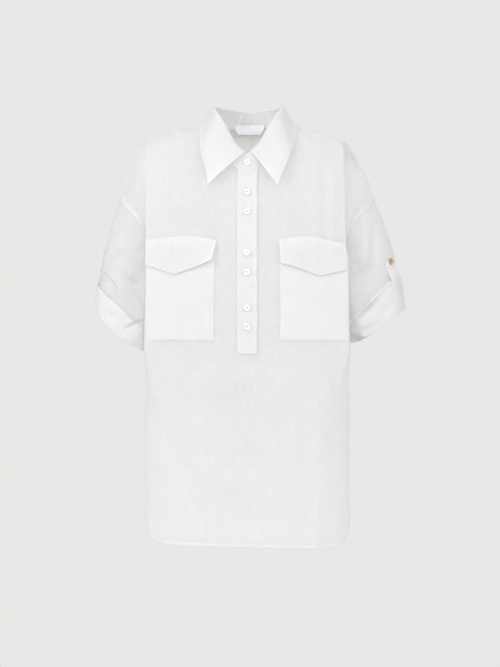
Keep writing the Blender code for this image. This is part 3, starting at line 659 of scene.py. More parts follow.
def row_height(face, side, along, share):
    """The height of a row of the panel: level below the arm, and fanning out to the shoulder above."""
    top = top_height(face, along)
    part = (np.minimum(share, UNDERARM_SHARE) / UNDERARM_SHARE) ** ROW_CROWDING
    upper = top + (UNDERARM_HEIGHT - top) * part
    lower = (share - UNDERARM_SHARE) / (1 - UNDERARM_SHARE)
    below = UNDERARM_HEIGHT + (hem_height(side, along) - UNDERARM_HEIGHT) * lower
    return np.where(share <= UNDERARM_SHARE, upper, below)


def share_at(face, side, along, height):
    """The row of the body panel that passes through a height."""
    top = top_height(face, along)
    part = np.maximum((top - height) / (top - UNDERARM_HEIGHT), 0.0)
    upper = UNDERARM_SHARE * part ** (1 / ROW_CROWDING)
    hem = hem_height(side, along)
    lower = UNDERARM_SHARE + (1 - UNDERARM_SHARE) * (UNDERARM_HEIGHT - height) / (UNDERARM_HEIGHT - hem)
    return np.where(height >= UNDERARM_HEIGHT, upper, lower)


def line_place(line, face, share):
    """Where the valley, cap or edge line lies at a row, as x and y."""
    name = FACES[face]
    return tuple(through(line["share"], line[name + axis], share) for axis in ("_x", "_y"))


def skirt_place(face, side, along, height):
    """Where the rounded lower body lies at a height, as x and y: a squared ellipse, with the soft folds."""
    column, folds = ("front", FRONT_FOLDS) if face < 0 else ("back", BACK_FOLDS)
    depth = through(CENTRE_DEPTH["height"], CENTRE_DEPTH[column], height)
    turn = np.interp(along / EDGE_ALONG, SKIRT_SHARES, SKIRT_TURNS)
    facing = np.maximum(np.cos(turn), 0.0)
    x = HALF_WIDTH * np.sin(turn) ** SKIRT_SQUARENESS
    y = face * depth * facing**SKIRT_SQUARENESS
    return x, y + face * fold_relief(folds, side * x, height) * facing**0.5


def chest_place(face, side, along, share, height):
    """Where the upper body lies at a height, as x and y.

    On the wearer's left the front turns back in a crisp crest, with a valley tucked behind it.
    """
    x = shoulder_reach(along)
    y = panel_depth(face, side * x, height)
    stations = [FLAT_ALONG, TURN_ALONG, CREST_ALONG, VALLEY_ALONG, CAP_ALONG, EDGE_ALONG]
    places = []
    crisp = smooth_step(share / 0.025) if side > 0 and face < 0 else np.zeros_like(share)
    for station, shift in zip(stations[:3], (0.0, 0.35, 1.0)):
        reach = shoulder_reach(np.full_like(share, station))
        own_height = row_height(face, side, np.full_like(share, station), share)
        drawn_in = shift * crisp * CREST_SHIFT * smooth_step((own_height - CREST_FOOT) / CREST_FADE)
        places.append((reach - drawn_in, panel_depth(face, side * reach, own_height)))
    lines = [line_place(line, face, share) for line in (VALLEY, CAP, EDGE)]
    if side > 0:
        crest_height = row_height(face, side, np.full_like(share, CREST_ALONG), share)
        turned = crisp * smooth_step((crest_height - TURN_FOOT) / TURN_FADE)
        crest = places[-1]
        tucked = (crest[0] + TUCK[0], lines[0][1] + TUCK[1])
        lines[0] = valley = tuple(a + (b - a) * turned for a, b in zip(lines[0], tucked))
        across = crest[0] + (valley[0] - crest[0]) * (0.3 - 0.28 * turned)
        back = crest[1] + (valley[1] - crest[1]) * (0.3 + 0.2 * turned)
        stations.insert(3, CREST_END_ALONG)
        places.append((across, back))
    soft = FOLD_SOFTNESS[side]
    middle = [(a + b) / 2 for a, b in zip(places[2], lines[1])]
    lines[0] = tuple(a + (b - a) * soft for a, b in zip(lines[0], middle))
    places += lines
    outer = [through(stations, np.stack([place[axis] for place in places]), along) for axis in (0, 1)]
    inside = along <= stations[0]
    return np.where(inside, x, outer[0]), np.where(inside, y, outer[1])


def body_points(face, side, along, share):
    """Points of the body's outer surface: round the panel from the centre, and down it from the top."""
    along, share = (np.array(values, float) for values in np.broadcast_arrays(along, share))
    height = row_height(face, side, along, share)
    low = smooth_step((SKIRT_TOP - height) / (SKIRT_TOP - SKIRT_FULL))
    x, y = chest_place(face, side, along, share, height)
    skirt_x, skirt_y = skirt_place(face, side, along, height)
    x = x + (skirt_x - x) * low
    above, beside = (height - SWELL_HEIGHT) / SWELL_HALF_HEIGHT, (along - SWELL_ALONG) / SWELL_HALF_WIDTH
    x = x + SIDE_SWELL * np.exp(-(above**2) - beside**2)
    return point_of(side * x, y + (skirt_y - y) * low, height)


def near_line(x, height, line):
    """The signed distance from a line of points, positive on its left, and the share of the way along it."""
    places = np.array(line, float) * MM
    runs = np.linalg.norm(np.diff(places, axis=0), axis=1)
    travelled = np.concatenate([[0], np.cumsum(runs)]) / runs.sum()
    nearest = np.full(x.shape, np.inf)
    signed, along = np.zeros(x.shape), np.zeros(x.shape)
    for index, ((x0, z0), (x1, z1)) in enumerate(zip(places, places[1:])):
        dx, dz = x1 - x0, z1 - z0
        part = np.clip(((x - x0) * dx + (height - z0) * dz) / (dx * dx + dz * dz), 0, 1)
        off_x, off_z = x - x0 - dx * part, height - z0 - dz * part
        distance = np.hypot(off_x, off_z)
        closer = distance < nearest
        nearest = np.where(closer, distance, nearest)
        signed = np.where(closer, distance * np.sign(dx * off_z - dz * off_x), signed)
        share = travelled[index] + (travelled[index + 1] - travelled[index]) * part
        along = np.where(closer, share, along)
    return signed, along


def crease_relief(creases, x, height):
    """How far the creases push the cloth outwards at a place seen from the front."""
    relief = np.zeros(x.shape)
    for kind, line, width, depth in creases:
        signed, along = near_line(x, height, line)
        taper = np.sin(np.pi * (0.04 + 0.92 * along)) ** 0.7
        beside = signed / (width * MM)
        if kind == "lapped":
            rise = smooth_step(signed / LAP_STEP + 0.5) * np.exp(-(np.maximum(beside, 0) ** 2))
        else:
            rise = np.exp(-(beside**2))
        relief += depth * MM * taper * rise
    return relief


def rumple(x, height, start):
    """The light uneven rumple of the linen at a place, with long waves that lean to and fro."""
    relief = np.zeros(np.broadcast(x, height).shape)
    for index, (length, lean, rise, bend) in enumerate(zip(*RUMPLE.values())):
        turn = 2.4 * index + start
        warp = bend * np.sin(height / (length * 0.9) + turn)
        warp = warp + 0.6 * bend * np.sin(height / (length * 0.37) + 2 * turn)
        across = (x + warp) / length + height / (length * 2.7) * np.sign(lean) + turn
        patches = 0.55 + 0.45 * np.sin(height / (length * 0.8) + x / (length * 1.7) + 1.7 * turn)
        relief = relief + rise * patches * np.sin(math.pi * across)
    return relief


def face_relief(face, x, height):
    creases, strength, start = (FRONT_CREASES, 1.0, 0.0) if face < 0 else (BACK_CREASES, 1.5, 1.3)
    return crease_relief(creases, x, height) + strength * rumple(x, height, start)


def normals_of(points, towards, wraps=False):
    """The directions straight out of a grid of points, on the side that the given directions lie on."""
    if wraps:
        beside = np.roll(points, -1, axis=1) - np.roll(points, 1, axis=1)
    else:
        beside = np.gradient(points, axis=1)
    normals = unit(np.cross(np.gradient(points, axis=0), beside))
    facing = float(np.sum(normals * towards))
    return normals if facing > 0 else -normals


def half_columns():
    """The columns of one half of a body panel, which fall on the slot's edge and the neck's end."""
    stops = [0, SLOT_HALF, NECK_HALF, EDGE_ALONG]
    columns = [0.0]
    for start, end in zip(stops, stops[1:]):
        count = max(2, round((end - start) / COLUMN_STEP))
        columns += list(start + (end - start) * np.arange(1, count + 1) / count)
    return np.array(columns)


def row_shares():
    """The rows of a body panel, one of which falls on the foot of the placket slot."""
    slot = float(share_at(-1, 1, np.array(0.0), SLOT_BOTTOM))
    upper = np.linspace(0, UNDERARM_SHARE, UPPER_ROWS + 1)
    slot_rows = round(LOWER_ROWS * (slot - UNDERARM_SHARE) / (1 - UNDERARM_SHARE))
    middle = np.linspace(UNDERARM_SHARE, slot, slot_rows + 1)[1:]
    lower = np.linspace(slot, 1, LOWER_ROWS - slot_rows + 1)[1:]
    return np.concatenate([upper, middle, lower]), UPPER_ROWS + slot_rows


def body_surface(face):
    """The fine grid of a body panel from the wearer's right to the left: points, normals and its cut."""
    half = half_columns()
    shares, slot_row = row_shares()
    right = body_points(face, -1, half[None, ::-1], shares[:, None])
    left = body_points(face, 1, half[None, :], shares[:, None])
    points = np.concatenate([right[:, :-1], left], axis=1)
    along = np.concatenate([-half[::-1][:-1], half])
    normals = normals_of(points, np.array([0, face, 0]))
    from_top = (top_height(face, np.abs(along))[None, :] - points[..., 2]) / TOP_FADE
    from_side = (EDGE_ALONG - np.abs(along))[None, :] / SIDE_FADE
    inside = smooth_step(from_top) * smooth_step(from_side)
    relief = face_relief(face, points[..., 0], points[..., 2]) * inside
    points = points + normals * relief[..., None]
    normals = normals_of(points, np.array([0, face, 0]))
    return {"points": points, "normals": normals, "along": along, "slot_row": slot_row}


@functools.lru_cache(maxsize=None)
def surface(name):
    """The fine outer surface of a main piece, worked out once."""
    if name in ("front", "back"):
        return body_surface(-1 if name == "front" else 1)
    return sleeve_surface(-1 if name == "sleeve_right" else 1)


def lifted(side, along, height, lift):
    """Points off the front panel, by their place on the cut and their height."""
    along, height, lift = (np.array(values, float) for values in np.broadcast_arrays(along, height, lift))
    step = 1.5 * MM
    point = body_points(-1, side, along, share_at(-1, side, along, height))
    beside = body_points(-1, side, along + step, share_at(-1, side, along + step, height))
    lower = body_points(-1, side, along, share_at(-1, side, along, height - step))
    normal = unit(np.cross(beside - point, lower - point)) * side
    normal = np.where(normal[..., 1:2] < 0, normal, -normal)
    relief = face_relief(-1, point[..., 0], point[..., 2])
    return point + normal * (lift + relief)[..., None]


def on_front(x, height, lift):
    """Points in front of the front panel, at a place seen from the front, lifted off it."""
    x, height, lift = (np.array(values, float) for values in np.broadcast_arrays(x, height, lift))
    step = 1 * MM
    depth = panel_depth(-1, x, height)
    across = (panel_depth(-1, x + step, height) - depth) / step
    down = (panel_depth(-1, x, height - step) - depth) / step
    normal = unit(point_of(across, -1.0, -down))
    relief = face_relief(-1, x, height) * smooth_step((neck_height(-1, np.abs(x)) - height) / TOP_FADE)
    return point_of(x, depth, height) + normal * (lift + relief)[..., None]


def cuff_points(side, degrees):
    """Points of the sleeve's lower edge, by the angle round it from the outer arm towards the front."""
    outer, inner = (np.array(CUFF[side][end]) * MM for end in ("outer", "inner"))
    centre, reach = (outer + inner) / 2, (outer - inner) / 2
    turn = np.mod(degrees, 360)
    section, drop = CUFF_SECTION, CUFF_DROP[side]
    across, forward = (through(section["degrees"], section[way], turn) for way in ("across", "forward"))
    front, back = (through(drop["across"], drop[name], across) for name in ("front", "back"))
    dropped = back + (front - back) * smooth_step(forward * 2 + 0.5)
    height = centre[1] + reach[1] * np.maximum(across, -1) - dropped
    depth = np.where(forward > 0, CUFF_FRONT, CUFF_DEPTH)
    return point_of(centre[0] + reach[0] * across, CUFF_BACK - depth * forward, height)


def armhole_points(side, degrees):
    """Points of the armhole seam: 0 at the shoulder, 180 under the arm, and the front between them."""
    turn = np.mod(np.asarray(degrees, float), 360)
    front = body_points(-1, side, EDGE_ALONG, UNDERARM_SHARE * np.minimum(turn, 180) / 180)
    back = body_points(1, side, EDGE_ALONG, UNDERARM_SHARE * (360 - np.maximum(turn, 180)) / 180)
    return np.where((turn <= 180)[..., None], front, back)


def sleeve_points(side, degrees, share):
    """Points of the sleeve's outer surface, from the armhole seam at 0 to its lower edge at 1.

    It swells between its ends, hangs away from the body under the arm and pushes a corner forwards there.
    """
    degrees, share = (np.array(values, float) for values in np.broadcast_arrays(degrees, share))
    start, end = armhole_points(side, degrees), cuff_points(side, degrees)
    ends = np.array([0.0, 180.0])
    centre_start, centre_end = armhole_points(side, ends).mean(axis=0), cuff_points(side, ends).mean(axis=0)
    part = share[..., None]
    point = start + (end - start) * part
    outwards = unit(point - (centre_start + (centre_end - centre_start) * part))
    under = np.maximum(0.0, -np.cos(np.radians(degrees)))[..., None]
    swell = np.sin(math.pi * np.clip(share, 0.0, 1.0))[..., None]
    away = np.array([side * UNDERARM_SPREAD, 0, 0]) * under
    turn = np.mod(degrees, 360)
    from_front, to_underarm = (turn - 90) / 50, (190 - turn) / 30
    corner = (smooth_step(from_front) * smooth_step(to_underarm))[..., None]
    pushed = np.array([side * CORNER_PUSH[0], CORNER_PUSH[1], 0]) * corner
    return point + outwards * SLEEVE_BULGE * swell * (1 - under) + (away + pushed) * swell


def sleeve_normals(side, degrees, share):
    """The directions straight out of the sleeve's surface."""
    turn, step = 4, 0.02
    around = sleeve_points(side, degrees + turn, share) - sleeve_points(side, degrees - turn, share)
    down = sleeve_points(side, degrees, share + step) - sleeve_points(side, degrees, share - step)
    return -unit(np.cross(down, around) * side)


def sleeve_length(side, degrees):
    return np.linalg.norm(armhole_points(side, degrees) - cuff_points(side, degrees), axis=-1)


def sleeve_relief(side, points, share):
    """How far a sleeve's creases and rumple push its cloth outwards.

    Behind, it has the other sleeve's creases, mirrored and a little lower.
    """
    x, y, height = np.moveaxis(points, -1, 0)
    forward = smooth_step((CUFF_BACK - y) / (14 * MM) + 0.5)
    front = crease_relief(SLEEVE_CREASES[side], x, height)
    back = crease_relief(SLEEVE_CREASES[-side], -x, height + 8 * MM)
    inside = smooth_step(share * 9)
    return (front * forward + back * (1 - forward) + 1.4 * rumple(x * 1.4, height * 1.4 + y, 2.0)) * inside


def turn_up_width(side, degrees):
    return through(TURN_UP_WIDTH[side]["degrees"], TURN_UP_WIDTH[side]["width"], degrees)


def over_edge(side, degrees):
    """The direction in which the sleeve's cloth runs out over its lower edge."""
    ends = np.ones_like(degrees, float)
    return unit(sleeve_points(side, degrees, ends) - sleeve_points(side, degrees, ends * 0.9))


def sleeve_rings(side, degrees, length):
    """The share of the way down and the lift of each ring: inside, round the fold and up the turn-up."""
    level = np.zeros(len(degrees))
    shares = [level + share for share in np.linspace(0, 1, SLEEVE_ROWS + 1)]
    lifts = [level] * len(shares)
    radius = TURN_UP_CLEARANCE / 2
    for turn in (45, 90, 135):
        shares.append(1 + radius * math.sin(math.radians(turn)) / length)
        lifts.append(level + radius * (1 - math.cos(math.radians(turn))))
    width = turn_up_width(side, degrees)
    for row in np.linspace(0, 1, TURN_UP_ROWS):
        shares.append(1 - width / length * row)
        lifts.append(level + TURN_UP_CLEARANCE * (1 + 0.5 * math.sin(math.pi * row)) - 0.8 * MM * row**3)
    return np.array(shares), np.array(lifts)


def sleeve_surface(side):
    """A sleeve's fine grid: down from the armhole, round the fold and back up outside as the turn-up."""
    degrees = 360 * np.arange(SLEEVE_COLUMNS) / SLEEVE_COLUMNS
    length = sleeve_length(side, degrees)
    shares, lifts = sleeve_rings(side, degrees, length)
    turns, inside = np.broadcast_to(degrees, shares.shape), np.minimum(shares, 1.0)
    past_edge = np.maximum(shares - 1, 0) * length
    base = sleeve_points(side, turns, inside) + over_edge(side, degrees) * past_edge[..., None]
    lift = lifts + sleeve_relief(side, base, inside)
    points = base + sleeve_normals(side, turns, inside) * lift[..., None]
    ends = np.array([0.0, 180.0])
    centre = (armhole_points(side, ends).mean(axis=0) + cuff_points(side, ends).mean(axis=0)) / 2
    towards = points - centre
    towards[SLEEVE_ROWS:] = 0
    return {"points": points, "normals": normals_of(points, towards, wraps=True), "degrees": degrees}


def grid_cells(rows, columns, wraps, missing):
    """The corner numbers of each cell of a grid, and of the rim's edges, in the outer grid's numbering."""
    across = columns if wraps else columns - 1
    cells, sides = [], {}
    for row in range(rows - 1):
        for column in range(across):
            if (row, column) in missing:
                continue
            beside = (column + 1) % columns
            cell = (row * columns + column, row * columns + beside)
            cell += ((row + 1) * columns + beside, (row + 1) * columns + column)
            cells.append((cell, (row, column)))
            for start, end in zip(cell, cell[1:] + cell[:1]):
                if (end, start) in sides:
                    del sides[(end, start)]
                else:
                    sides[(start, end)] = (row, column)
    return cells, sides


def clear_selection():
    for obj in bpy.context.selected_objects:
        obj.select_set(False)


def shell_faces(points, normals, wraps, missing):
    """The faces of a shell of cloth, outside, inside and rim, and the cell of the grid that each is on."""
    rows, columns = points.shape[:2]
    count = rows * columns
    cells, sides = grid_cells(rows, columns, wraps, missing)
    towards = np.cross(points[1, 1] - points[0, 0], points[0, 1] - points[1, 0])
    flipped = float(np.sum(towards * normals[0, 0])) > 0
    faces, places = [], []
    for cell, place in cells:
        ring = cell if flipped else cell[::-1]
        faces += [ring, tuple(count + corner for corner in reversed(ring))]
        places += [place, place]
    for (start, end), place in sides.items():
        ring = (start, end, count + end, count + start)
        faces.append(ring[::-1] if flipped else ring)
        places.append(place)
    return faces, places


def lay_grain(mesh, grain, wraps, places):
    """Gives each corner of each face its place on the flat cloth, in metres across and down the grain."""
    rows, columns = grain.shape[:2]
    layer = mesh.uv_layers.new(name="grain")
    loops = np.zeros(len(mesh.loops), np.int32)
    mesh.loops.foreach_get("vertex_index", loops)
    numbers = loops % (rows * columns)
    laid = grain.reshape(-1, 2)[numbers].copy()
    if wraps:
        totals = np.zeros(len(mesh.polygons), np.int32)
        mesh.polygons.foreach_get("loop_total", totals)
        closing = np.repeat([column == columns - 1 for _, column in places], totals)
        step = grain[0, -1, 0] - grain[0, -2, 0]
        laid[closing & (numbers % columns == 0), 0] += grain[0, -1, 0] + step - grain[0, 0, 0]
    layer.data.foreach_set("uv", laid.ravel())


def cloth_shell(
    name, points, normals, thickness, grain, finish, wraps=False, missing=frozenset(), doubled=None
):
    """A closed shell of cloth: the outer grid, the same grid moved inwards and a rim between them.

    The rows from the doubled one on have the finish of two layers.
    """
    faces, places = shell_faces(points, normals, wraps, missing)
    inner = points - normals * thickness
    mesh = bpy.data.meshes.new(name)
    mesh.from_pydata(np.concatenate([points.reshape(-1, 3), inner.reshape(-1, 3)]), [], faces)
    lay_grain(mesh, grain, wraps, places)
    if missing:
        clear_loose(mesh)
    obj = new_object(name, mesh, material_of(finish))
    if doubled is not None:
        mesh.materials.append(material_of("linen_double"))
        mesh.polygons.foreach_set("material_index", [int(row >= doubled) for row, _ in places])
    return obj


def clear_loose(mesh):
    """Takes out the points that no face uses."""
    built = bmesh.new()
    built.from_mesh(mesh)
    bmesh.ops.delete(built, geom=[vert for vert in built.verts if not vert.link_faces], context="VERTS")
    built.to_mesh(mesh)
    built.free()


def new_object(name, mesh, material, sharp=50):
    """A smooth object at the origin, with edges sharper than that many degrees kept crisp."""
    obj = bpy.data.objects.new(name, mesh)
    bpy.context.scene.collection.objects.link(obj)
    mesh.materials.append(material)
    mesh.shade_smooth()
    mesh.set_sharp_from_angle(angle=math.radians(sharp))
    return obj


def settle(obj, slot, *nodes):
    """Puts a piece on the garment's one body and hides the plain solids that it stands for. The finish passed
    to it is not used.
    """
    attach(obj, "root")
    if nodes:
        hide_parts(*nodes)
    return obj


def grain_by_lengths(points, wraps=False):
    """A grain map in metres: the mean lengths along the rows and down the columns."""
    closed = np.concatenate([points, points[:, :1]], axis=1) if wraps else points
    across = np.linalg.norm(np.diff(closed, axis=1), axis=2).mean(axis=0)
    down = np.linalg.norm(np.diff(points, axis=0), axis=2).mean(axis=1)
    u = np.concatenate([[0], np.cumsum(across)])[: points.shape[1]]
    v = np.concatenate([[0], np.cumsum(down)])
    return point_of(u[None, :], v[:, None], 0)[..., :2]


def area_of(points, wraps=False, missing=frozenset()):
    """The area of a grid of cloth, in square metres."""
    grid = np.concatenate([points, points[:, :1]], axis=1) if wraps else points
    across, down = grid[:-1, 1:] - grid[1:, :-1], grid[1:, 1:] - grid[:-1, :-1]
    cells = np.linalg.norm(np.cross(across, down), axis=2) / 2
    for row, column in missing:
        cells[row, column] = 0
    return float(cells.sum())


def stretch_of(points, wraps=False):
    """The greatest width and length of a grid of cloth, in metres."""
    grid = np.concatenate([points, points[:, :1]], axis=1) if wraps else points
    width = np.linalg.norm(np.diff(grid, axis=1), axis=2).sum(axis=1)
    length = np.linalg.norm(np.diff(points, axis=0), axis=2).sum(axis=0)
    return float(width.max()), float(length.max())


def declare_cloth(obj, points, rests_on, held, wraps=False, missing=frozenset()):
    """Works out the width, length and area of the cut that a piece of cloth was made from, as wide and long
    as its grid at the most; nothing is done with them.
    """
    width, length = stretch_of(points, wraps)
    area = min(area_of(points, wraps, missing), width * length)
    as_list(rests_on)


def make_doubled(
    name, node, points, normals, rests_on, held, grain=None, thickness=CLOTH, finish="linen_double"
):
    """A piece of two layers of cloth, from its grid."""
    grain = grain_by_lengths(points) if grain is None else grain
    obj = cloth_shell(name, points, normals, thickness, grain, finish)
    settle(obj, "linen_double", node)
    declare_cloth(obj, points, rests_on, held)


# Light that has passed through the linen
GLOW = (0.985, 0.965, 0.94)

# Linen: the pitch of its threads, and its spots to the metre across and down the grain
THREAD_PITCH = 0.8 * MM
DRIFT_SPOTS = (60, 60)
WARP_SLUBS, WEFT_SLUBS = (760, 34), (38, 820)
FINE_WARP, FINE_WEFT = (1500, 90), (110, 1500)

# Painted shade on the lower middle, a brownish darkening that stands for light seen through the cloth from
# inside: its stretch, its shift and the share of each colour that it leaves
PAINTED_SHADE_STRETCH = (12.0, 0.0, 6.0)
PAINTED_SHADE_SHIFT = (0.45, 0.0, 3.05)
PAINTED_SHADE_SHARES = (0.955, 0.93, 0.895)

# Satin ribbon: the pitch of its ribs and its two colours
RIB_PITCH = 0.35 * MM
SATIN_DEEP, SATIN_PALE = (0.76, 0.79, 0.87), (0.87, 0.89, 0.93)

# Each kind of pearl: the material's name, its dusky and its light clouds, and its thin layers
PEARL = {
    "shell_button": ("shell_button_pearl", (0.72, 0.66, 0.65), (0.86, 0.84, 0.83), (0.60, 0.64, 0.66)),
    "golden_button": ("shell_button_golden", (0.80, 0.73, 0.60), (0.92, 0.89, 0.83), (0.66, 0.56, 0.40)),
    # Painted shade: a dark brown copy of the pearl, for a shell button in shadow
    "brown_button": ("shell_button_brown", (0.30, 0.18, 0.08), (0.62, 0.46, 0.26), (0.16, 0.09, 0.04)),
}
BUTTON_THREAD = (0.62, 0.52, 0.45)


class Shade:
    """A material's nodes, or one socket of them. A sum written on a socket adds the Math nodes for it."""

    def __init__(self, tree, socket=None):
        self.tree = tree
        self.socket = socket

    def node(self, kind, settings=None, inputs=None, output=0):
        """A new node, as one of its outputs, with its settings and the values or links of its sockets."""
        added = self.tree.nodes.new(kind)
        for name, value in (settings or {}).items():
            setattr(added, name, value)
        for name, value in (inputs or {}).items():
            if isinstance(value, Shade):
                self.tree.links.new(value.socket, added.inputs[name])
            else:
                added.inputs[name].default_value = value
        return Shade(self.tree, added.outputs[output] if added.outputs else None)

    def maths(self, operation, first, second=0.0):
        return self.node("ShaderNodeMath", {"operation": operation}, {0: first, 1: second})

    def __add__(self, other):
        return self.maths("ADD", self, other)

    def __radd__(self, other):
        return self.maths("ADD", other, self)

    def __sub__(self, other):
        return self.maths("SUBTRACT", self, other)

    def __rsub__(self, other):
        return self.maths("SUBTRACT", other, self)

    def __mul__(self, other):
        return self.maths("MULTIPLY", self, other)

    def __rmul__(self, other):
        return self.maths("MULTIPLY", other, self)

    def sine(self):
        return self.maths("SINE", self)

    def clamped(self):
        return self.node("ShaderNodeClamp", inputs={0: self, 1: 0.0, 2: 1.0})

    def step(self, low, high):
        """0 below low, 1 above high and a soft rise between."""
        settings = {"interpolation_type": "SMOOTHSTEP"}
        return self.node("ShaderNodeMapRange", settings, {0: self, 1: low, 2: high})

    def mixed(self, factor, first, second):
        """The first colour, turned to the second by the factor."""
        settings = {"data_type": "RGBA"}
        return self.node("ShaderNodeMix", settings, {0: factor, 6: first, 7: second}, output=2)

    def scaled(self, across, down):
        """These coordinates stretched by a number each way."""
        inputs = {0: self, 1: (across, down, 1.0)}
        return self.node("ShaderNodeVectorMath", {"operation": "MULTIPLY"}, inputs)

    def noise(self, spots, detail=2.0, roughness=0.5):
        """Noise in cloth coordinates, so many spots to the metre across and down the grain."""
        inputs = {"Vector": self.scaled(*spots), "Scale": 1.0, "Detail": detail, "Roughness": roughness}
        return self.node("ShaderNodeTexNoise", {"noise_dimensions": "2D"}, inputs)

    def clouds(self, scale, detail, **inputs):
        """Noise in the object's own coordinates."""
        inputs = {"Vector": self, "Scale": scale, "Detail": detail, **inputs}
        return self.node("ShaderNodeTexNoise", None, inputs)

    def bump(self, strength, distance):
        """The bump that this height gives."""
        inputs = {"Strength": strength, "Distance": distance, "Height": self}
        return self.node("ShaderNodeBump", None, inputs)

    def part(self, name):
        """One of the numbers of a coordinate: X or Y."""
        return self.node("ShaderNodeSeparateXYZ", None, {0: self}, output=name)


def fresh_material(name, finish):
    """A new material of that name, with its shader's plain settings."""
    material = bpy.data.materials.new(name)
    material.use_nodes = True
    shader = material.node_tree.nodes["Principled BSDF"]
    for setting, value in finish.items():
        shader.inputs[setting].default_value = value
    return material, Shade(material.node_tree), shader


def connect(nodes, shader, links):
    """Feeds the shader's sockets from nodes."""
    for name, value in links.items():
        nodes.tree.links.new(value.socket, shader.inputs[name])


def weave_of(grain, slub):
    """The slubs, the fine threads and the height of a plain weave on the grain map."""
    drift = grain.noise(DRIFT_SPOTS)
    slubs = [grain.noise(spots, 4.0, 0.65).step(0.47, 0.68) for spots in (WARP_SLUBS, WEFT_SLUBS)]
    fine_warp, fine_weft = (grain.noise(spots, 3.0, 0.6) for spots in (FINE_WARP, FINE_WEFT))
    turn = 2 * math.pi / THREAD_PITCH
    warp, weft = ((grain.part(axis) * turn + drift * 5.0).sine() * 0.5 + 0.5 for axis in ("X", "Y"))
    slubs = (slubs[0] + slubs[1]) * slub
    threads = (fine_warp + fine_weft) * 0.5
    weave = warp * weft + (1 - warp) * (1 - weft)
    return slubs, threads, weave * 0.35 + slubs * 0.9 + threads * 0.8


def linen(name, colour, warm, slub, sheer):
    """Plain-weave linen with uneven slubs both ways, a warm uneven tint, painted brownish shade on the lower
    middle and light that passes through it.
    """
    finish = {"Roughness": 0.86, "Sheen Weight": 0.1, "Sheen Roughness": 0.6, "Specular IOR Level": 0.2}
    material, nodes, shader = fresh_material(name, finish)
    grain = nodes.node("ShaderNodeUVMap", {"uv_map": "grain"})
    place = nodes.node("ShaderNodeTexCoord", output=3)
    slubs, threads, height = weave_of(grain, slub)
    patches = place.clouds(9.0, 3.0, Roughness=0.6)
    tint = (patches.step(0.35, 0.7) * 0.6 + 0.2).clamped()
    even = nodes.mixed(tint, (*colour, 1), (*warm, 1))
    # Painted shade: the lower middle turns brownish in patches, standing for light seen through the cloth
    # from inside
    inputs = {0: place, 1: PAINTED_SHADE_STRETCH, 2: PAINTED_SHADE_SHIFT}
    shade_place = nodes.node("ShaderNodeVectorMath", {"operation": "MULTIPLY_ADD"}, inputs)
    spread = nodes.node("ShaderNodeVectorMath", {"operation": "LENGTH"}, {0: shade_place}, output=1)
    painted_shade = ((1.0 - spread.step(0.4, 1.5)) * patches.step(0.3, 0.6) * slub).clamped()
    shade_colour = tuple(value * share for value, share in zip(colour, PAINTED_SHADE_SHARES))
    base = nodes.mixed(painted_shade * 0.85, even, (*shade_colour, 1))
    pale = tuple(min(1.0, value * 1.12) for value in colour)
    deep = tuple(value * 0.90 for value in warm)
    toned = nodes.mixed((threads.step(0.40, 0.60) * 0.85 * slub).clamped(), base, (*deep, 1))
    lit = nodes.mixed((slubs * 0.55).clamped(), toned, (*pale, 1))
    connect(nodes, shader, {"Base Color": lit, "Normal": height.bump(0.32, 0.35 * MM)})
    glow = nodes.node("ShaderNodeBsdfTranslucent", None, {"Color": (*GLOW, 1)})
    surface_shader = Shade(nodes.tree, shader.outputs[0])
    both = nodes.node("ShaderNodeMixShader", None, {0: sheer, 1: surface_shader, 2: glow})
    nodes.tree.links.new(both.socket, nodes.tree.nodes["Material Output"].inputs["Surface"])
    return material


def satin():
    """Woven satin ribbon: fine shiny ribs across the label."""
    finish = {"Roughness": 0.34, "Sheen Weight": 0.3, "Specular IOR Level": 0.5}
    material, nodes, shader = fresh_material("label_satin_woven", finish)
    grain = nodes.node("ShaderNodeUVMap", {"uv_map": "grain"})
    ribs = (grain.part("Y") * (2 * math.pi / RIB_PITCH)).sine() * 0.5 + 0.5
    flecks = grain.noise((900, 90))
    colour = nodes.mixed(flecks.step(0.35, 0.7), (*SATIN_DEEP, 1), (*SATIN_PALE, 1))
    connect(nodes, shader, {"Base Color": colour, "Normal": (ribs + flecks).bump(0.25, 0.1 * MM)})
    return material


def pearl(name, dusk, light, layer):
    """Mother-of-pearl: clouds of two colours and thin layers of a third under a glossy polish."""
    finish = {"Roughness": 0.2, "Coat Weight": 0.4, "Coat Roughness": 0.1, "Specular IOR Level": 0.5}
    material, nodes, shader = fresh_material(name, finish)
    place = nodes.node("ShaderNodeTexCoord", output=3)
    clouds = place.clouds(230.0, 3.0, Distortion=1.6)
    layers = place.clouds(620.0, 2.0, Distortion=3.0)
    cloudy = nodes.mixed(clouds.step(0.35, 0.65), (*dusk, 1), (*light, 1))
    colour = nodes.mixed(layers.step(0.45, 0.7) * 0.6, cloudy, (*layer, 1))
    bump = layers.bump(0.15, 0.1 * MM)
    connect(nodes, shader, {"Base Color": colour, "Normal": bump, "Roughness": layers * 0.2 + 0.12})
    return material


def thread_finish(name, colour):
    """Sewing thread, twisted."""
    material, nodes, shader = fresh_material(name, {"Roughness": 0.7, "Sheen Weight": 0.2})
    twist = nodes.node("ShaderNodeTexCoord", output=3).clouds(2600.0, 1.0)
    deep = tuple(value * 0.82 for value in colour)
    connect(nodes, shader, {"Base Color": nodes.mixed(twist.step(0.35, 0.65), (*deep, 1), (*colour, 1))})
    return material


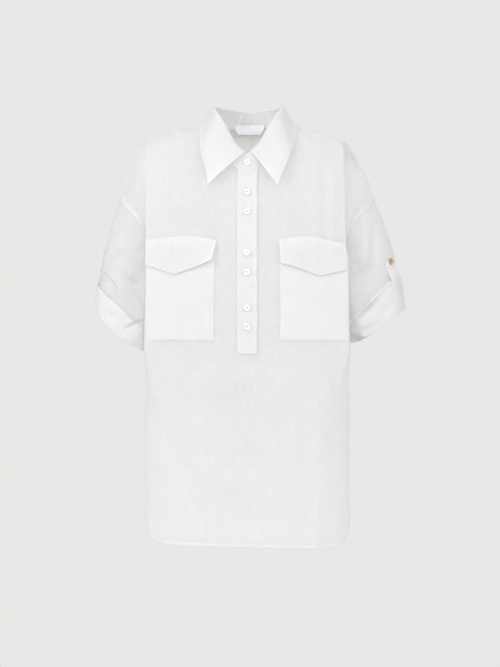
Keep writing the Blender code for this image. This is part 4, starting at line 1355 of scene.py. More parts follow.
@functools.lru_cache(maxsize=None)
def material_of(name):
    """Each finish, made once."""
    shirt = bpy.context.scene.popover_shirt
    single, double, warm = (tuple(getattr(shirt, key + "_colour")) for key in ("single", "double", "warm"))
    double_warm = tuple(0.6 * a + 0.4 * b for a, b in zip(double, single))
    # Painted shade: the collar leaf's cloth is a darker copy of the double layer, offsetting the extra light
    # that the upturned leaf catches
    collar = tuple(0.972 * value for value in double)
    linens = {
        "linen": ("linen_single_layer", single, warm, 1.0, 0.65),
        "linen_double": ("linen_double_layer", double, double_warm, 0.5, 0.45),
        "linen_collar": ("linen_collar_layers", collar, single, 0.5, 0.5),
    }
    if name in linens:
        return linen(*linens[name])
    if name in PEARL:
        return pearl(*PEARL[name])
    if name == "label_satin":
        return satin()
    return thread_finish(name, {"button_thread": BUTTON_THREAD, "sewing_thread": double}[name])


def slot_cells(data):
    """The cells of the front's grid that the placket slot takes out."""
    along = data["along"]
    middles = (along[1:] + along[:-1]) / 2
    columns = np.nonzero(np.abs(middles) < SLOT_HALF)[0]
    return frozenset((row, int(column)) for row in range(data["slot_row"]) for column in columns)


def make_panel(face):
    """The front or back panel, with the seam bands that are sewn to it."""
    name = FACES[face]
    bands = make_seam_bands(face)
    data = surface(name)
    points = data["points"]
    missing = slot_cells(data) if face < 0 else frozenset()
    grain = point_of(data["along"][None, :], points[..., 2], 0)[..., :2]
    obj = cloth_shell(name + "_cloth", points, data["normals"], CLOTH, grain, "linen", missing=missing)
    settle(obj, "linen", name + "_panel")
    declare_cloth(obj, points, ["collar_stand_cloth"], "draped", missing=missing)


def make_sleeve(side):
    """A sleeve with its turned-up part, in one ring of cloth."""
    name = "sleeve_" + HANDS[side]
    data = surface(name)
    points = data["points"]
    down = np.linalg.norm(np.diff(points, axis=0), axis=2).mean(axis=1)
    u = np.radians(data["degrees"]) * SLEEVE_RADIUS
    v = np.concatenate([[0], np.cumsum(down)])
    grain = point_of(u[None, :], v[:, None], 0)[..., :2]
    doubled = SLEEVE_ROWS + 2
    obj = cloth_shell(
        name + "_cloth", points, data["normals"], CLOTH, grain, "linen", wraps=True, doubled=doubled
    )
    settle(obj, "linen", name)
    declare_cloth(obj, points, ["front_cloth"], "folded", wraps=True)


def along_grid(far, travelled, values):
    """The values at a distance down each column of a grid, given how far each row of it has travelled."""
    columns = range(len(far))
    axes = range(values.shape[2])
    return np.array(
        [[np.interp(far[c], travelled[:, c], values[:, c, axis]) for axis in axes] for c in columns]
    )


def inset_line(points, normals, edge, distance, lift):
    """A line at a distance in from the top, bottom, left or right edge of a grid, lifted off the cloth."""
    if edge in ("left", "right"):
        points, normals = np.swapaxes(points, 0, 1), np.swapaxes(normals, 0, 1)
    if edge in ("bottom", "right"):
        points, normals = points[::-1], normals[::-1]
    runs = np.linalg.norm(np.diff(points, axis=0), axis=2)
    travelled = np.concatenate([np.zeros((1, runs.shape[1])), np.cumsum(runs, axis=0)])
    edge_way, inward_way = unit(np.gradient(points[0], axis=0)), unit(points[2] - points[0])
    square = np.linalg.norm(np.cross(edge_way, inward_way), axis=1)
    far = distance / np.maximum(square, 0.4)
    ways = unit(along_grid(far, travelled, normals))
    return along_grid(far, travelled, points) + ways * lift, ways


def band_grid(points, normals, edge, inner, outer, rise):
    """A narrow raised band of folded cloth along an edge, between two distances in from it."""
    lines, ways = [], []
    for across, height in BAND_PROFILE:
        line, way = inset_line(points, normals, edge, inner + (outer - inner) * across, rise * height)
        lines.append(line)
        ways.append(way)
    return np.array(lines), np.array(ways)


def make_seam_bands(face):
    """The felled bands round the armholes and along the shoulders, and the turned hem."""
    name = FACES[face]
    data = surface(name)
    points, normals, along = data["points"], data["normals"], data["along"]
    made = []
    for side, edge in ((-1, "left"), (1, "right")):
        rows = slice(0, UPPER_ROWS + 1)
        band = band_grid(points[rows], normals[rows], edge, *ARMHOLE_BAND)
        made.append(band_shell(f"armhole_band_{name}_{HANDS[side]}", *band))
        if face < 0:
            columns = np.nonzero(side * along >= NECK_HALF + 4 * MM)[0]
            picked = slice(columns[0], columns[-1] + 1)
            band = band_grid(points[:, picked], normals[:, picked], "top", *SHOULDER_BAND)
            made.append(band_shell(f"shoulder_band_{HANDS[side]}", *band))
    made.append(band_shell("hem_band_" + name, *band_grid(points, normals, "bottom", *HEM_BAND)))
    return made


def band_shell(name, lines, ways):
    """The thin shell of a seam band."""
    grain = grain_by_lengths(lines)
    obj = cloth_shell(name, lines, ways, 0.5 * MM, grain[..., ::-1], "linen_double")
    return settle(obj, "linen_double")


def placket_points(x, bottom, down, lift):
    """Points of a placket strip, whose top edge follows the neckline under the collar stand."""
    top = neck_height(-1, np.abs(x)) - PLACKET_BELOW_NECK
    return on_front(x, top + (bottom - top) * down, lift)


def placket_over_grid():
    """The buttonhole strip: flat on the wearer's right, its free edge lifted and wavy on the left."""
    spread, drop = np.meshgrid(np.linspace(-1, 1, 23), np.linspace(0, 1, 130))
    base = LAYER + 0.9 * MM * smooth_step((drop - 0.8) * 7)
    profile = through([-1, -0.6, 0, 0.6, 1], [0.1, 0.2, 0.4, 0.8, 1.2], spread) * MM
    wave = np.sin(drop * 27.0) ** 2 + 0.5 * np.sin(drop * 61 + 1.0)
    free = smooth_step((spread - 0.45) / 0.55)
    settled = smooth_step((0.97 - drop) / 0.06)
    lift = base + profile + 0.9 * MM * wave * free * settled
    shift = 0.5 * MM * np.sin(drop * 40 + 0.5) * free * settled
    edge_roll = -0.35 * MM * smooth_step((np.abs(spread) - 0.93) / 0.07)
    return placket_points(PLACKET_HALF * spread + shift, PLACKET_BOTTOM, drop, lift + edge_roll)


def placket_under_grid():
    """The button strip, which fills the slot behind the buttonhole strip."""
    across, down = np.meshgrid(np.linspace(-1, 1, 9), np.linspace(0, 1, 90))
    return placket_points(UNDERLAP_HALF * across, SLOT_BOTTOM + 1.2 * MM, down, -0.15 * MM)


def make_placket():
    for layer, points in (("overlap", placket_over_grid()), ("underlap", placket_under_grid())):
        name = "placket_" + layer
        make_doubled(name + "_cloth", name, points, normals_of(points, FORWARDS), ["front_cloth"], "laid")


def pocket_grid(side):
    """A patch pocket, slack in its middle, with its mouth a little open under the flap."""
    across, down = np.meshgrid(np.linspace(0, 1, 46), np.linspace(0, 1, 58))
    height = POCKET_TOP + (POCKET_BOTTOM - POCKET_TOP) * down
    along = POCKET_INNER + (POCKET_OUTER - POCKET_INNER) * across + 2.5 * MM * down * (1 - across)
    slack = 1.1 * MM * np.sin(math.pi * across) * np.sin(math.pi * down)
    from_side = np.minimum(across, 1 - across)
    rim = smooth_step(np.minimum(from_side * 14, (1 - down) * 16))
    relief = crease_relief(POCKET_CREASES[side], side * along, height)
    edge_roll = -0.5 * MM * (1 - smooth_step(np.minimum(from_side * 60, (1 - down) * 75)))
    lift = LAYER + 0.05 * MM + slack + np.maximum(relief * rim, -0.6 * MM) + edge_roll
    return lifted(side, along, height, lift)


def flap_grid(side):
    """A pointed flap, sewn along its top edge and standing off the pocket below."""
    cut = FLAP[side]
    across, row = np.meshgrid(np.linspace(0, 1, 61), np.linspace(0, 1, 30))
    x = cut["x"][0] + (cut["x"][-1] - cut["x"][0]) * across
    seam = through(cut["x"], cut["seam"], x)
    lower = np.interp(x, cut["x"], cut["lower"])
    free_lift = through(cut["x"], cut["lift"], x)
    share = through(FLAP_ROWS, FLAP_LIFT_SHARES, row)
    height = seam + (lower - seam) * row
    along = x + FLAP_NARROWING[side] * row * (1 - across) ** 2
    base = LAYER + 0.8 * MM * smooth_step((across - 0.75) / 0.2)
    relief = crease_relief(FLAP_CREASES[side], side * x, height)
    pucker = 0.35 * MM * np.sin(x / MM * 0.9) * np.exp(-(((row - 0.14) / 0.1) ** 2))
    edge_roll = -0.4 * MM * smooth_step((row - 0.965) / 0.035)
    lift = base + (free_lift - base) * share + relief * smooth_step(row * 6) + pucker + edge_roll
    return lifted(side, along, height, lift)


def make_pockets_and_flaps():
    for side in (-1, 1):
        for kind, points, held in (("pocket", pocket_grid(side), "laid"), ("flap", flap_grid(side), "hung")):
            name = f"{kind}_{HANDS[side]}"
            make_doubled(name + "_cloth", name, points, normals_of(points, FORWARDS), ["front_cloth"], held)


def stand_foot(degrees):
    """The neckline, by the angle round the neck from the front, towards the wearer's left."""
    turn = np.radians(degrees)
    x = NECK_HALF * np.sin(turn)
    points = []
    for face in (-1, 1):
        height = neck_height(face, np.abs(x))
        points.append(point_of(x, panel_depth(face, x, height), height))
    return np.where((np.cos(turn) > 0)[..., None], *points)


def stand_top(degrees):
    """The top edge of the collar stand, where the leaf turns over."""
    turn = np.radians(degrees)
    forward = np.cos(turn)
    front, back = STAND_FRONT_DEPTH + RIDGE_DEPTH, STAND_BACK_DEPTH - RIDGE_DEPTH
    depth = RIDGE_DEPTH - forward * np.where(forward > 0, front, back)
    around = np.abs(np.mod(degrees + 180, 360) - 180)
    height = through(STAND_TOP["degrees"], STAND_TOP["height"], around)
    return point_of(STAND_WIDTH * np.sin(turn) + STAND_SHIFT * (1 - forward) / 2, depth, height)


def level_way(points, shift=0.0):
    """Straight out from the neck's axis, level."""
    return unit(point_of(points[..., 0] - shift, points[..., 1], 0.0))


def stand_grid():
    """One strip round the neck, its ends lapped at the front with the wearer's right end on top."""
    start, end = LAP_OVER_DEGREES, -360 - LAP_UNDER_DEGREES
    degrees = np.linspace(start, end, 241)
    shares = np.linspace(0, 1, 22)
    foot, top = stand_foot(degrees), stand_top(degrees)
    outwards = level_way(foot)
    travelled = start - degrees
    to_go = travelled[-1] - travelled
    lap = STAND_LAP * (smooth_step(to_go / 50) - smooth_step(travelled / 50))
    rounding = 5 * MM * (smooth_step(1 - travelled / 9) + smooth_step(1 - to_go / 9))
    front_end = smooth_step(1 - travelled / 40) + smooth_step(1 - to_go / 40)
    foot = foot + outwards * lap[:, None] + point_of(0, 0, 1.3 * MM - 4.2 * MM * front_end)
    top = top + outwards * lap[:, None] + np.array([0, 0, 1.4 * MM])
    top = top + unit(foot - top) * rounding[:, None]
    bow = 1.2 * MM * np.sin(math.pi * shares)
    points = foot[:, None] + (top - foot)[:, None] * shares[None, :, None]
    points = points + outwards[:, None] * bow[None, :, None]
    turn = np.mod(degrees, 360)
    behind = smooth_step((100 - np.abs(turn - 180)) / 50)
    wave = np.sin(turn * 0.62) + 0.7 * np.sin(turn * 0.41 + 1.1) + 0.5 * np.sin(turn * 0.93 + 2.0)
    up_stand = np.sin(math.pi * np.minimum(shares * 1.1, 1.0)) ** 0.7
    pucker = 0.8 * MM * (wave * behind)[:, None] * up_stand[None, :]
    return points + outwards[:, None] * pucker[..., None]


def leaf_section_points(degrees):
    """The leaf's section at each angle: up inside the stand, over its top and down to the outer edge."""
    around = np.abs(np.mod(degrees + 180, 360) - 180)
    edges = [
        point_of(*(through(cut["degrees"], cut[axis], around) for axis in ("x", "y", "height")))
        for cut in (LEAF_EDGE[-1], LEAF_EDGE[1])
    ]
    edge = np.where((degrees >= -180)[:, None], *edges)
    frontal = 1 - smooth_step((around - 45) / 25)
    beside = smooth_step((around - 50) / 25) * (1 - smooth_step((around - 120) / 30))
    bulge = np.where(degrees >= -180, LEAF_BULGE[-1], LEAF_BULGE[1]) * frontal - 2.6 * MM * beside
    top = stand_top(degrees)
    outwards = level_way(top, STAND_SHIFT)
    along_top = stand_top(degrees - 1) - stand_top(degrees + 1)
    up = unit(np.cross(along_top, outwards))
    up = np.where(up[:, 2:] > 0, up, -up)
    line = [top + outwards * (out * MM) + up * (rise * MM) for out, rise in LEAF_ROLL]
    last = line[-1]
    fall = edge - last
    stand_off = unit(outwards + np.array([0, 0, 0.35]))
    for share in np.linspace(0, 1, 25)[1:]:
        line.append(last + fall * share + stand_off * (bulge * math.sin(math.pi * share))[:, None])
    return np.stack(line, axis=1)


def leaf_grid():
    """The leaf, from the foot of its inside to its outer edge, with its creases and rolled edge."""
    first, last = -LEAF_EDGE[-1]["degrees"][0], LEAF_EDGE[1]["degrees"][0] - 360
    degrees = np.linspace(first, last, 241)
    points = leaf_section_points(degrees)
    normals = normals_of(points, level_way(points, STAND_SHIFT) + np.array([0, 0, 0.3]))
    relief = np.zeros(points.shape[:2])
    for side in (-1, 1):
        mask = (points[..., 0] * side > 0) & (points[..., 1] < 0)
        relief += np.where(mask, crease_relief(LEAF_CREASES[side], points[..., 0], points[..., 2]), 0)
    rows = np.linspace(0, 1, points.shape[1])
    relief += 0.3 * rumple(points[..., 0] * 2, points[..., 2] * 2, 4.0) * smooth_step(rows * 4)[None, :]
    edge = smooth_step((1 - rows[None, :]) * 18)
    relief = relief * edge - 0.45 * MM * (1 - edge)
    return points + normals * relief[..., None]


def collar_normals(points):
    return normals_of(points, level_way(points, STAND_SHIFT) + np.array([0, 0, 0.05]))


def make_collar():
    stand, leaf = stand_grid(), leaf_grid()
    pieces = (
        ("stand", stand, ["front_cloth", "back_cloth"], STAND_THICK, "linen_double"),
        ("leaf", leaf, ["collar_stand_cloth"], CLOTH, "linen_collar"),
    )
    for layer, points, rests_on, thickness, finish in pieces:
        name = "collar_" + layer
        grain = grain_by_lengths(points)[..., ::-1]
        normals = collar_normals(points)
        make_doubled(name + "_cloth", name, points, normals, rests_on, "folded", grain, thickness, finish)


def tab_grid(side):
    """A sleeve tab: from inside the sleeve, down round the turn-up and up outside to its pointed end."""
    angle = TAB_ANGLE[side]
    length = float(sleeve_length(side, angle))
    top_share = TAB_BUTTON_SHARE[side] - 11 * MM / length
    inside = -(CLOTH + LAYER + 1.2 * MM)
    width = float(turn_up_width(side, angle + 8.0))
    round_edge = TURN_UP_CLEARANCE * 1.4 + CLOTH + 0.2 * MM
    stations = [(share, inside) for share in np.linspace(1 - TAB_INSIDE / length, 0.985, 5)]
    stations += [(1 + 2.6 * MM / length, -2.0 * MM), (1 + 3.8 * MM / length, 1.4 * MM)]
    stations += [(1 + 2.4 * MM / length, round_edge - 0.8 * MM)]
    for share in np.linspace(0.97, top_share, 10):
        past = smooth_step((1 - width / length - share) * length / (16 * MM))
        stations.append((share, round_edge - (round_edge - 1.45 * MM) * past))
    knots = np.arange(len(stations))
    fine = np.linspace(0, knots[-1], 86)
    shares, lifts = (through(knots, np.array(stations)[:, index], fine) for index in (0, 1))
    places = np.linspace(-1, 1, 11)
    cut = np.clip(fine - (fine[-1] - 1.0), 0, 1)
    across = places[None, :] * (1 - 0.72 * smooth_step(cut))[:, None]
    back = 4.0 * MM / length * (np.abs(places)[None, :] * cut[:, None])
    return tab_points(side, across, shares[:, None] + back, np.broadcast_to(lifts[:, None], across.shape))


def tab_points(side, across, share, lift):
    """Points of the tab, with their places across from -1 to 1."""
    degrees = TAB_ANGLE[side] + across * TAB_DEGREES
    inside = np.minimum(share, 1.0)
    past_edge = np.maximum(share - 1.0, 0.0) * float(sleeve_length(side, TAB_ANGLE[side]))
    base = sleeve_points(side, degrees, inside)
    relief = np.maximum(sleeve_relief(side, base, inside), 0) * np.where(lift > 0, 1, 0)
    base = base + over_edge(side, degrees) * past_edge[..., None]
    return base + sleeve_normals(side, degrees, inside) * (lift + relief)[..., None]


def tab_outwards(side):
    """Straight out from the sleeve under the tab."""
    return sleeve_normals(side, np.array(TAB_ANGLE[side]), np.array(0.85))


def make_tabs():
    for side in (-1, 1):
        hand = HANDS[side]
        points = tab_grid(side)
        centre = sleeve_points(side, np.array(TAB_ANGLE[side]), np.array(0.85))
        outwards = tab_outwards(side)
        above = ((points - centre) @ outwards)[..., None]
        normals = normals_of(points, np.where(above > 0, outwards, -outwards))
        make_doubled(f"tab_{hand}_cloth", "tab_" + hand, points, normals, [f"sleeve_{hand}_cloth"], "folded")


def select_only(obj):
    clear_selection()
    obj.select_set(True)
    bpy.context.view_layer.objects.active = obj


def pick_faces(obj, wanted):
    """Selects the faces that the test accepts, in edit mode."""
    bpy.ops.object.mode_set(mode="EDIT")
    bpy.ops.mesh.select_mode(type="FACE")
    bpy.ops.mesh.select_all(action="DESELECT")
    bpy.ops.object.mode_set(mode="OBJECT")
    for polygon in obj.data.polygons:
        polygon.select = wanted(polygon)
    bpy.ops.object.mode_set(mode="EDIT")


def inset_faces(obj, wanted, steps):
    """Insets the faces that the test accepts, once for each step in and up or down, in millimetres."""
    pick_faces(obj, wanted)
    for inwards, rise in steps:
        bpy.ops.mesh.inset(thickness=inwards * MM, depth=rise * MM)
    bpy.ops.object.mode_set(mode="OBJECT")


def make_button_blank():
    """One turned button at the origin, facing +Z: a rim, a dished middle and two holes."""
    clear_selection()
    middle = (0, 0, BUTTON_THICK / 2)
    bpy.ops.mesh.primitive_cylinder_add(
        vertices=48, radius=BUTTON_RADIUS, depth=BUTTON_THICK, location=middle
    )
    button = bpy.context.object
    button.name = "button_blank"
    inset_faces(button, lambda polygon: polygon.normal.z > 0.9, BUTTON_STEPS)
    inset_faces(button, lambda polygon: polygon.normal.z < -0.9, [(0.7, 0.0)])
    for x in (-HOLE_PLACE, HOLE_PLACE):
        clear_selection()
        bpy.ops.mesh.primitive_cylinder_add(
            vertices=16, radius=HOLE_RADIUS, depth=6 * MM, location=(x, 0, 1.2 * MM)
        )
        hole = bpy.context.object
        cut = button.modifiers.new("hole", "BOOLEAN")
        cut.object = hole
        cut.operation = "DIFFERENCE"
        select_only(button)
        bpy.ops.object.modifier_apply(modifier=cut.name)
        bpy.data.objects.remove(hole)
    rounding = button.modifiers.new("polish", "BEVEL")
    rounding.width = 0.16 * MM
    rounding.segments = 2
    rounding.limit_method = "ANGLE"
    rounding.angle_limit = math.radians(35)
    bpy.ops.object.modifier_apply(modifier=rounding.name)
    return button


def make_thread_blank():
    """The sewing in a button's two holes: three strands across, sunk a little at each end."""
    strands = []
    for place in STRANDS:
        clear_selection()
        bpy.ops.mesh.primitive_cylinder_add(
            vertices=8, radius=STRAND_RADIUS, depth=STRAND_LENGTH, location=place,
            rotation=(0, math.pi / 2, 0),
        )
        strand = bpy.context.object
        bpy.ops.object.transform_apply(location=True, rotation=True, scale=True)
        bpy.ops.object.mode_set(mode="EDIT")
        bpy.ops.mesh.select_all(action="SELECT")
        bpy.ops.mesh.subdivide(number_cuts=3)
        bpy.ops.object.mode_set(mode="OBJECT")
        for vert in strand.data.vertices:
            vert.co.z -= 0.9 * MM * smooth_step((abs(vert.co.x) - 0.75 * MM) / (0.6 * MM))
        strands.append(strand)
    clear_selection()
    for strand in strands:
        strand.select_set(True)
    bpy.context.view_layer.objects.active = strands[0]
    bpy.ops.object.join()
    return bpy.context.object


def placed_copy(blank, name, placed, finish):
    """A copy of a small piece with its own mesh, turned and moved within that mesh."""
    mesh = blank.data.copy()
    mesh.name = name
    mesh.transform(placed)
    mesh.materials.clear()
    return new_object(name, mesh, material_of(finish), 35)


def button_places():
    """Where each button sits, which way it faces and how its holes are turned, in degrees."""
    front = np.array(0.0)
    top = stand_foot(front) * 0.45 + stand_top(front) * 0.55
    facing = unit(np.array([0, -1, 0.1]))
    seat = np.array([0.4 * MM, top[1], COLLAR_BUTTON_HEIGHT]) + facing * (STAND_LAP + 1.7 * MM)
    places = [("button_1", seat, facing, 12)]
    for index, (height, turn) in enumerate(zip(*BUTTONS.values())):
        seat = on_front(0, height, LAYER + 1.3 * MM)
        places.append((f"button_{index + 2}", seat, unit(seat - on_front(0, height, 0)), turn))
    for side in (-1, 1):
        share, angle = np.array(TAB_BUTTON_SHARE[side]), np.array(TAB_ANGLE[side])
        facing = sleeve_normals(side, angle, share)
        seat = tab_points(side, np.array(0.0), share, np.array(3.0 * MM))
        places.append(("tab_button_" + HANDS[side], seat, facing, 25 * side))
    return places


def make_buttons():
    """Nine buttons and the sewing in each."""
    blank, sewing = make_button_blank(), make_thread_blank()
    for name, seat, facing, turn in button_places():
        aimed = Vector(facing).to_track_quat("Z", "Y").to_matrix().to_4x4()
        spun = Matrix.Rotation(math.radians(turn), 4, "Z")
        placed = Matrix.Translation(Vector(seat)) @ aimed @ spun
        finish = BUTTON_FINISH.get(name, "shell_button")
        settle(placed_copy(blank, name + "_pearl", placed, finish), "shell_button", name)
        settle(placed_copy(sewing, name + "_sewing", placed, "button_thread"), "linen_double")
    for used in (blank, sewing):
        bpy.data.objects.remove(used)


def label_grid(left, right, up, down, mitre):
    """A label sewn at the neck seam inside the back, its lower part hanging free."""
    clear = STAND_THICK + 1.7 * MM
    shares, rows = np.meshgrid(np.linspace(0, 1, 25), np.linspace(0, 1, 13))
    height = (up + (down - up) * rows) * MM
    narrow = np.clip(-height / abs(down) / MM, 0, 1) * mitre * 0.5 + mitre * 0.5 * rows
    x = (left + narrow + (right - left - 2 * narrow) * shares) * MM
    degrees = 180 - np.degrees(np.arcsin(x / NECK_HALF))
    foot, top = stand_foot(degrees), stand_top(degrees)
    outwards = level_way(foot)
    rise = np.maximum(height, 0) / (top[..., 2] - foot[..., 2])
    lean = (top - foot) * rise[..., None]
    fall = point_of(0, 0, np.minimum(height, 0))
    curl = 0.7 * MM * smooth_step(rows * 2 - 1) * np.sin(shares * 5 + 0.6)
    return foot + lean + fall - outwards * (clear + curl)[..., None]


def make_labels():
    """The plain folded neck label and the plain size label beside it."""
    made = []
    for name, sizes in LABELS.items():
        points = label_grid(*sizes)
        normals = normals_of(points, FORWARDS)
        obj = cloth_shell(name + "_satin", points, normals, 0.5 * MM, grain_by_lengths(points), "label_satin")
        made.append(settle(obj, "label_satin", name))
    size_label, neck_label = made
    declare_cloth(neck_label, points, ["collar_stand_cloth"], "hung")


def spaced(line, ways, pitch):
    """Places at an even pitch along a line, with the run and the lift direction at each."""
    runs = np.linalg.norm(np.diff(line, axis=0), axis=1)
    travelled = np.concatenate([[0], np.cumsum(runs)])

    def at(distances, values):
        return np.stack([np.interp(distances, travelled, values[:, axis]) for axis in range(3)], axis=1)

    middles = np.arange(pitch * 0.5, travelled[-1] - pitch * 0.4, pitch)
    places = at(middles, line)
    return places, unit(at(middles + pitch * 0.2, line) - places), unit(at(middles, ways))


def sewn_pieces():
    """The small pieces that are topstitched: grid, directions out of it, and each row's edge and inset."""
    for side in (-1, 1):
        pocket, flap, tab = pocket_grid(side), flap_grid(side), tab_grid(side)[TAB_OUTER_ROW:]
        yield pocket, normals_of(pocket, FORWARDS), [("left", 1.6), ("right", 1.6), ("bottom", 1.6)]
        flap_rows = [("top", 6.5), ("bottom", 5.0), ("left", 4.2), ("right", 4.2)]
        yield flap, normals_of(flap, FORWARDS), flap_rows
        yield tab, normals_of(tab, tab_outwards(side)), [("left", 2.0), ("right", 2.0)]
    strip = placket_over_grid()
    strip_rows = [("left", 2.0), ("right", 2.0), ("bottom", 2.0), ("bottom", 7.5)]
    yield strip, normals_of(strip, FORWARDS), strip_rows


def stitch_rows():
    """The lines of topstitching, as points and lift directions, each from the cloth it is sewn through."""
    rows = []
    for face in (-1, 1):
        data = surface(FACES[face])
        points, normals = data["points"], data["normals"]
        upper = slice(0, UPPER_ROWS + 1)
        for edge in ("left", "right"):
            rows.append(inset_line(points[upper], normals[upper], edge, 7.2 * MM, 1.05 * MM))
        rows.append(inset_line(points, normals, "bottom", 5.6 * MM, 0.85 * MM))
    for points, normals, lines in sewn_pieces():
        rows += [inset_line(points, normals, edge, inset * MM, STITCH_RISE) for edge, inset in lines]
    leaf = leaf_grid()
    normals = collar_normals(leaf)
    rows.append(inset_line(leaf, normals, "right", 5.2 * MM, STITCH_RISE))
    for edge in ("top", "bottom"):
        line, ways = inset_line(leaf, normals, edge, 5.0 * MM, STITCH_RISE)
        rows.append((line[6:-2], ways[6:-2]))
    return rows


def make_stitches(pitch, length):
    """Every topstitch as a short rounded thread, joined in one mesh."""
    half = length / 2
    verts, faces = [], []
    for line, ways in stitch_rows():
        for place, run, lift in zip(*spaced(line, ways, pitch)):
            beside = np.cross(run, lift)
            start = len(verts)
            for reach, full in STITCH:
                middle = place + run * half * reach - lift * STITCH_RISE * (1 - full)
                size = STITCH_HALF_WIDTH * (0.35 + 0.65 * full)
                verts += [middle + beside * size, middle + lift * size * 0.8, middle - beside * size]
            for ring in range(len(STITCH) - 1):
                a, b = start + ring * 3, start + ring * 3 + 3
                faces += [(a, a + 1, b + 1, b), (a + 1, a + 2, b + 2, b + 1), (a + 2, a, b, b + 2)]
            faces += [(start + 2, start + 1, start), (start + 9, start + 10, start + 11)]
    mesh = bpy.data.meshes.new("topstitching")
    mesh.from_pydata(verts, [], faces)
    settle(new_object("topstitching", mesh, material_of("sewing_thread"), 60), "linen_double")


def make_lamp(name, place, target, size, power):
    """A soft rectangular light that points at its target."""
    data = bpy.data.lights.new(name, "AREA")
    data.energy = power
    data.shape = "RECTANGLE"
    data.size, data.size_y = size
    lamp = bpy.data.objects.new(name, data)
    bpy.context.scene.collection.objects.link(lamp)
    lamp.location = place
    lamp.rotation_euler = (Vector(target) - Vector(place)).to_track_quat("-Z", "Y").to_euler()


def make_camera():
    """The camera, level in front of the shirt."""
    data = bpy.data.cameras.new("camera")
    data.sensor_fit = "VERTICAL"
    data.sensor_height = 36
    data.lens = CAMERA_LENS
    camera = bpy.data.objects.new("camera", data)
    bpy.context.scene.collection.objects.link(camera)
    camera.location = CAMERA_PLACE
    camera.rotation_euler = (math.pi / 2, 0, 0)
    bpy.context.scene.camera = camera


def make_stage(key_power, fill_power):
    """The camera, the pale even surround, the floor and the soft lights."""
    scene = bpy.context.scene
    scene.view_settings.view_transform = "Standard"
    scene.view_settings.look = "None"
    make_camera()
    world = bpy.data.worlds.new("surround")
    world.use_nodes = True
    world.node_tree.nodes["Background"].inputs["Color"].default_value = (*BACKGROUND, 1)
    scene.world = world
    clear_selection()
    bpy.ops.mesh.primitive_plane_add(size=7.0, location=(0, 0, FLOOR_HEIGHT))
    floor = bpy.context.object
    floor.name = "floor"
    finish = {"Base Color": (0.82, 0.82, 0.81, 1), "Roughness": 0.9}
    floor.data.materials.append(fresh_material("pale_floor", finish)[0])
    floor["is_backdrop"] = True
    make_lamp("key", (-2.6, -2.2, 0.95), CHEST, (2.0, 2.0), key_power)
    make_lamp("front", (0.0, -3.5, 0.45), CHEST, (0.9, 0.9), fill_power)
    make_lamp("fill", (2.7, -2.0, 0.6), CHEST, (2.0, 2.0), fill_power * 1.1)
    make_lamp("top", (0.0, -1.6, 1.6), SHOULDERS, (1.0, 0.8), fill_power * 0.2)


class ShirtSettings(bpy.types.PropertyGroup):
    """The sizes and colours of the cloth, the sewing and the lights."""

    single_colour: bpy.props.FloatVectorProperty(
        name="Single layer", description="Colour of the linen where it is one layer thick",
        default=(0.824, 0.859, 0.933), size=3, min=0, max=1, subtype="COLOR",
    )
    double_colour: bpy.props.FloatVectorProperty(
        name="Double layer", description="Colour of the linen where two or more layers lie together",
        default=(0.843, 0.852, 0.868), size=3, min=0, max=1, subtype="COLOR",
    )
    warm_colour: bpy.props.FloatVectorProperty(
        name="Warm tint", description="Colour that the single layer turns to in patches",
        default=(0.797, 0.811, 0.855), size=3, min=0, max=1, subtype="COLOR",
    )
    stitch_pitch: bpy.props.FloatProperty(
        name="Stitch pitch", description="Distance from one topstitch to the next",
        default=2.9 * MM, min=1 * MM, max=8 * MM, unit="LENGTH",
    )
    stitch_length: bpy.props.FloatProperty(
        name="Stitch length", description="Length of thread that shows in each topstitch",
        default=2.2 * MM, min=0.5 * MM, max=6 * MM, unit="LENGTH",
    )
    key_power: bpy.props.FloatProperty(
        name="Key light", description="Power of the large soft light at the front left",
        default=46.0, min=0, max=500, unit="POWER",
    )
    fill_power: bpy.props.FloatProperty(
        name="Fill light", description="Power of the softer lights in front, at the right and above",
        default=22.5, min=0, max=500, unit="POWER",
    )


class SHIRT_OT_body(bpy.types.Operator):
    """Makes the front and back panels, with their seam bands and hem"""

    bl_idname = "shirt.body"
    bl_label = "Front and back"

    def execute(self, context):
        for face in (-1, 1):
            make_panel(face)
        return {"FINISHED"}


class SHIRT_OT_sleeves(bpy.types.Operator):
    """Makes both turned-up sleeves"""

    bl_idname = "shirt.sleeves"
    bl_label = "Sleeves"

    def execute(self, context):
        for side in (-1, 1):
            make_sleeve(side)
        return {"FINISHED"}


class SHIRT_OT_collar(bpy.types.Operator):
    """Makes the collar stand and the collar leaf"""

    bl_idname = "shirt.collar"
    bl_label = "Collar"

    def execute(self, context):
        make_collar()
        return {"FINISHED"}


class SHIRT_OT_placket(bpy.types.Operator):
    """Makes the two strips of the half placket"""

    bl_idname = "shirt.placket"
    bl_label = "Placket"

    def execute(self, context):
        make_placket()
        return {"FINISHED"}


class SHIRT_OT_pockets(bpy.types.Operator):
    """Makes the chest pockets and their flaps"""

    bl_idname = "shirt.pockets"
    bl_label = "Pockets and flaps"

    def execute(self, context):
        make_pockets_and_flaps()
        return {"FINISHED"}


class SHIRT_OT_tabs(bpy.types.Operator):
    """Makes the tab that holds up each sleeve"""

    bl_idname = "shirt.tabs"
    bl_label = "Sleeve tabs"

    def execute(self, context):
        make_tabs()
        return {"FINISHED"}


class SHIRT_OT_buttons(bpy.types.Operator):
    """Makes the nine pearl buttons and their sewing"""

    bl_idname = "shirt.buttons"
    bl_label = "Buttons"

    def execute(self, context):
        make_buttons()
        return {"FINISHED"}


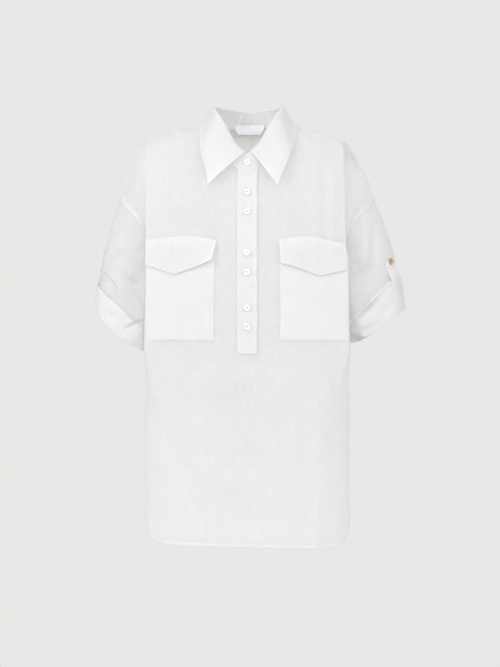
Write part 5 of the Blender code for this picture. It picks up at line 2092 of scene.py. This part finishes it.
class SHIRT_OT_labels(bpy.types.Operator):
    """Makes the blank neck label and size label"""

    bl_idname = "shirt.labels"
    bl_label = "Labels"

    def execute(self, context):
        make_labels()
        return {"FINISHED"}


class SHIRT_OT_stitches(bpy.types.Operator):
    """Sews the topstitching"""

    bl_idname = "shirt.stitches"
    bl_label = "Topstitching"

    def execute(self, context):
        shirt = context.scene.popover_shirt
        make_stitches(shirt.stitch_pitch, shirt.stitch_length)
        return {"FINISHED"}


class SHIRT_OT_stage(bpy.types.Operator):
    """Sets up the camera, the floor and the soft lights"""

    bl_idname = "shirt.stage"
    bl_label = "Stage"

    def execute(self, context):
        shirt = context.scene.popover_shirt
        make_stage(shirt.key_power, shirt.fill_power)
        return {"FINISHED"}


OPERATORS = (
    SHIRT_OT_body,
    SHIRT_OT_sleeves,
    SHIRT_OT_collar,
    SHIRT_OT_placket,
    SHIRT_OT_pockets,
    SHIRT_OT_tabs,
    SHIRT_OT_buttons,
    SHIRT_OT_labels,
    SHIRT_OT_stitches,
    SHIRT_OT_stage,
)


class SHIRT_PT_panel(bpy.types.Panel):
    """The shirt's settings and pieces"""

    bl_idname = "SHIRT_PT_panel"
    bl_label = "Linen popover shirt"
    bl_space_type = "VIEW_3D"
    bl_region_type = "UI"
    bl_category = "Shirt"

    def draw(self, context):
        column = self.layout.column()
        for name in ShirtSettings.__annotations__:
            column.prop(context.scene.popover_shirt, name)
        for operator in OPERATORS:
            column.operator(operator.bl_idname)


CLASSES = (ShirtSettings, *OPERATORS, SHIRT_PT_panel)


def register():
    for item in CLASSES:
        bpy.utils.register_class(item)
    bpy.types.Scene.popover_shirt = bpy.props.PointerProperty(type=ShirtSettings)


def unregister():
    del bpy.types.Scene.popover_shirt
    for item in reversed(CLASSES):
        bpy.utils.unregister_class(item)


def main():
    register()
    for operator in OPERATORS:
        group, name = operator.bl_idname.split(".")
        getattr(getattr(bpy.ops, group), name)()
    boxes = {"cad": CAD_BOX, "visual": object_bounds()}
    sizes = {name: [list(corner) for corner in corners] for name, corners in boxes.items()}


if __name__ == "__main__":
    main()
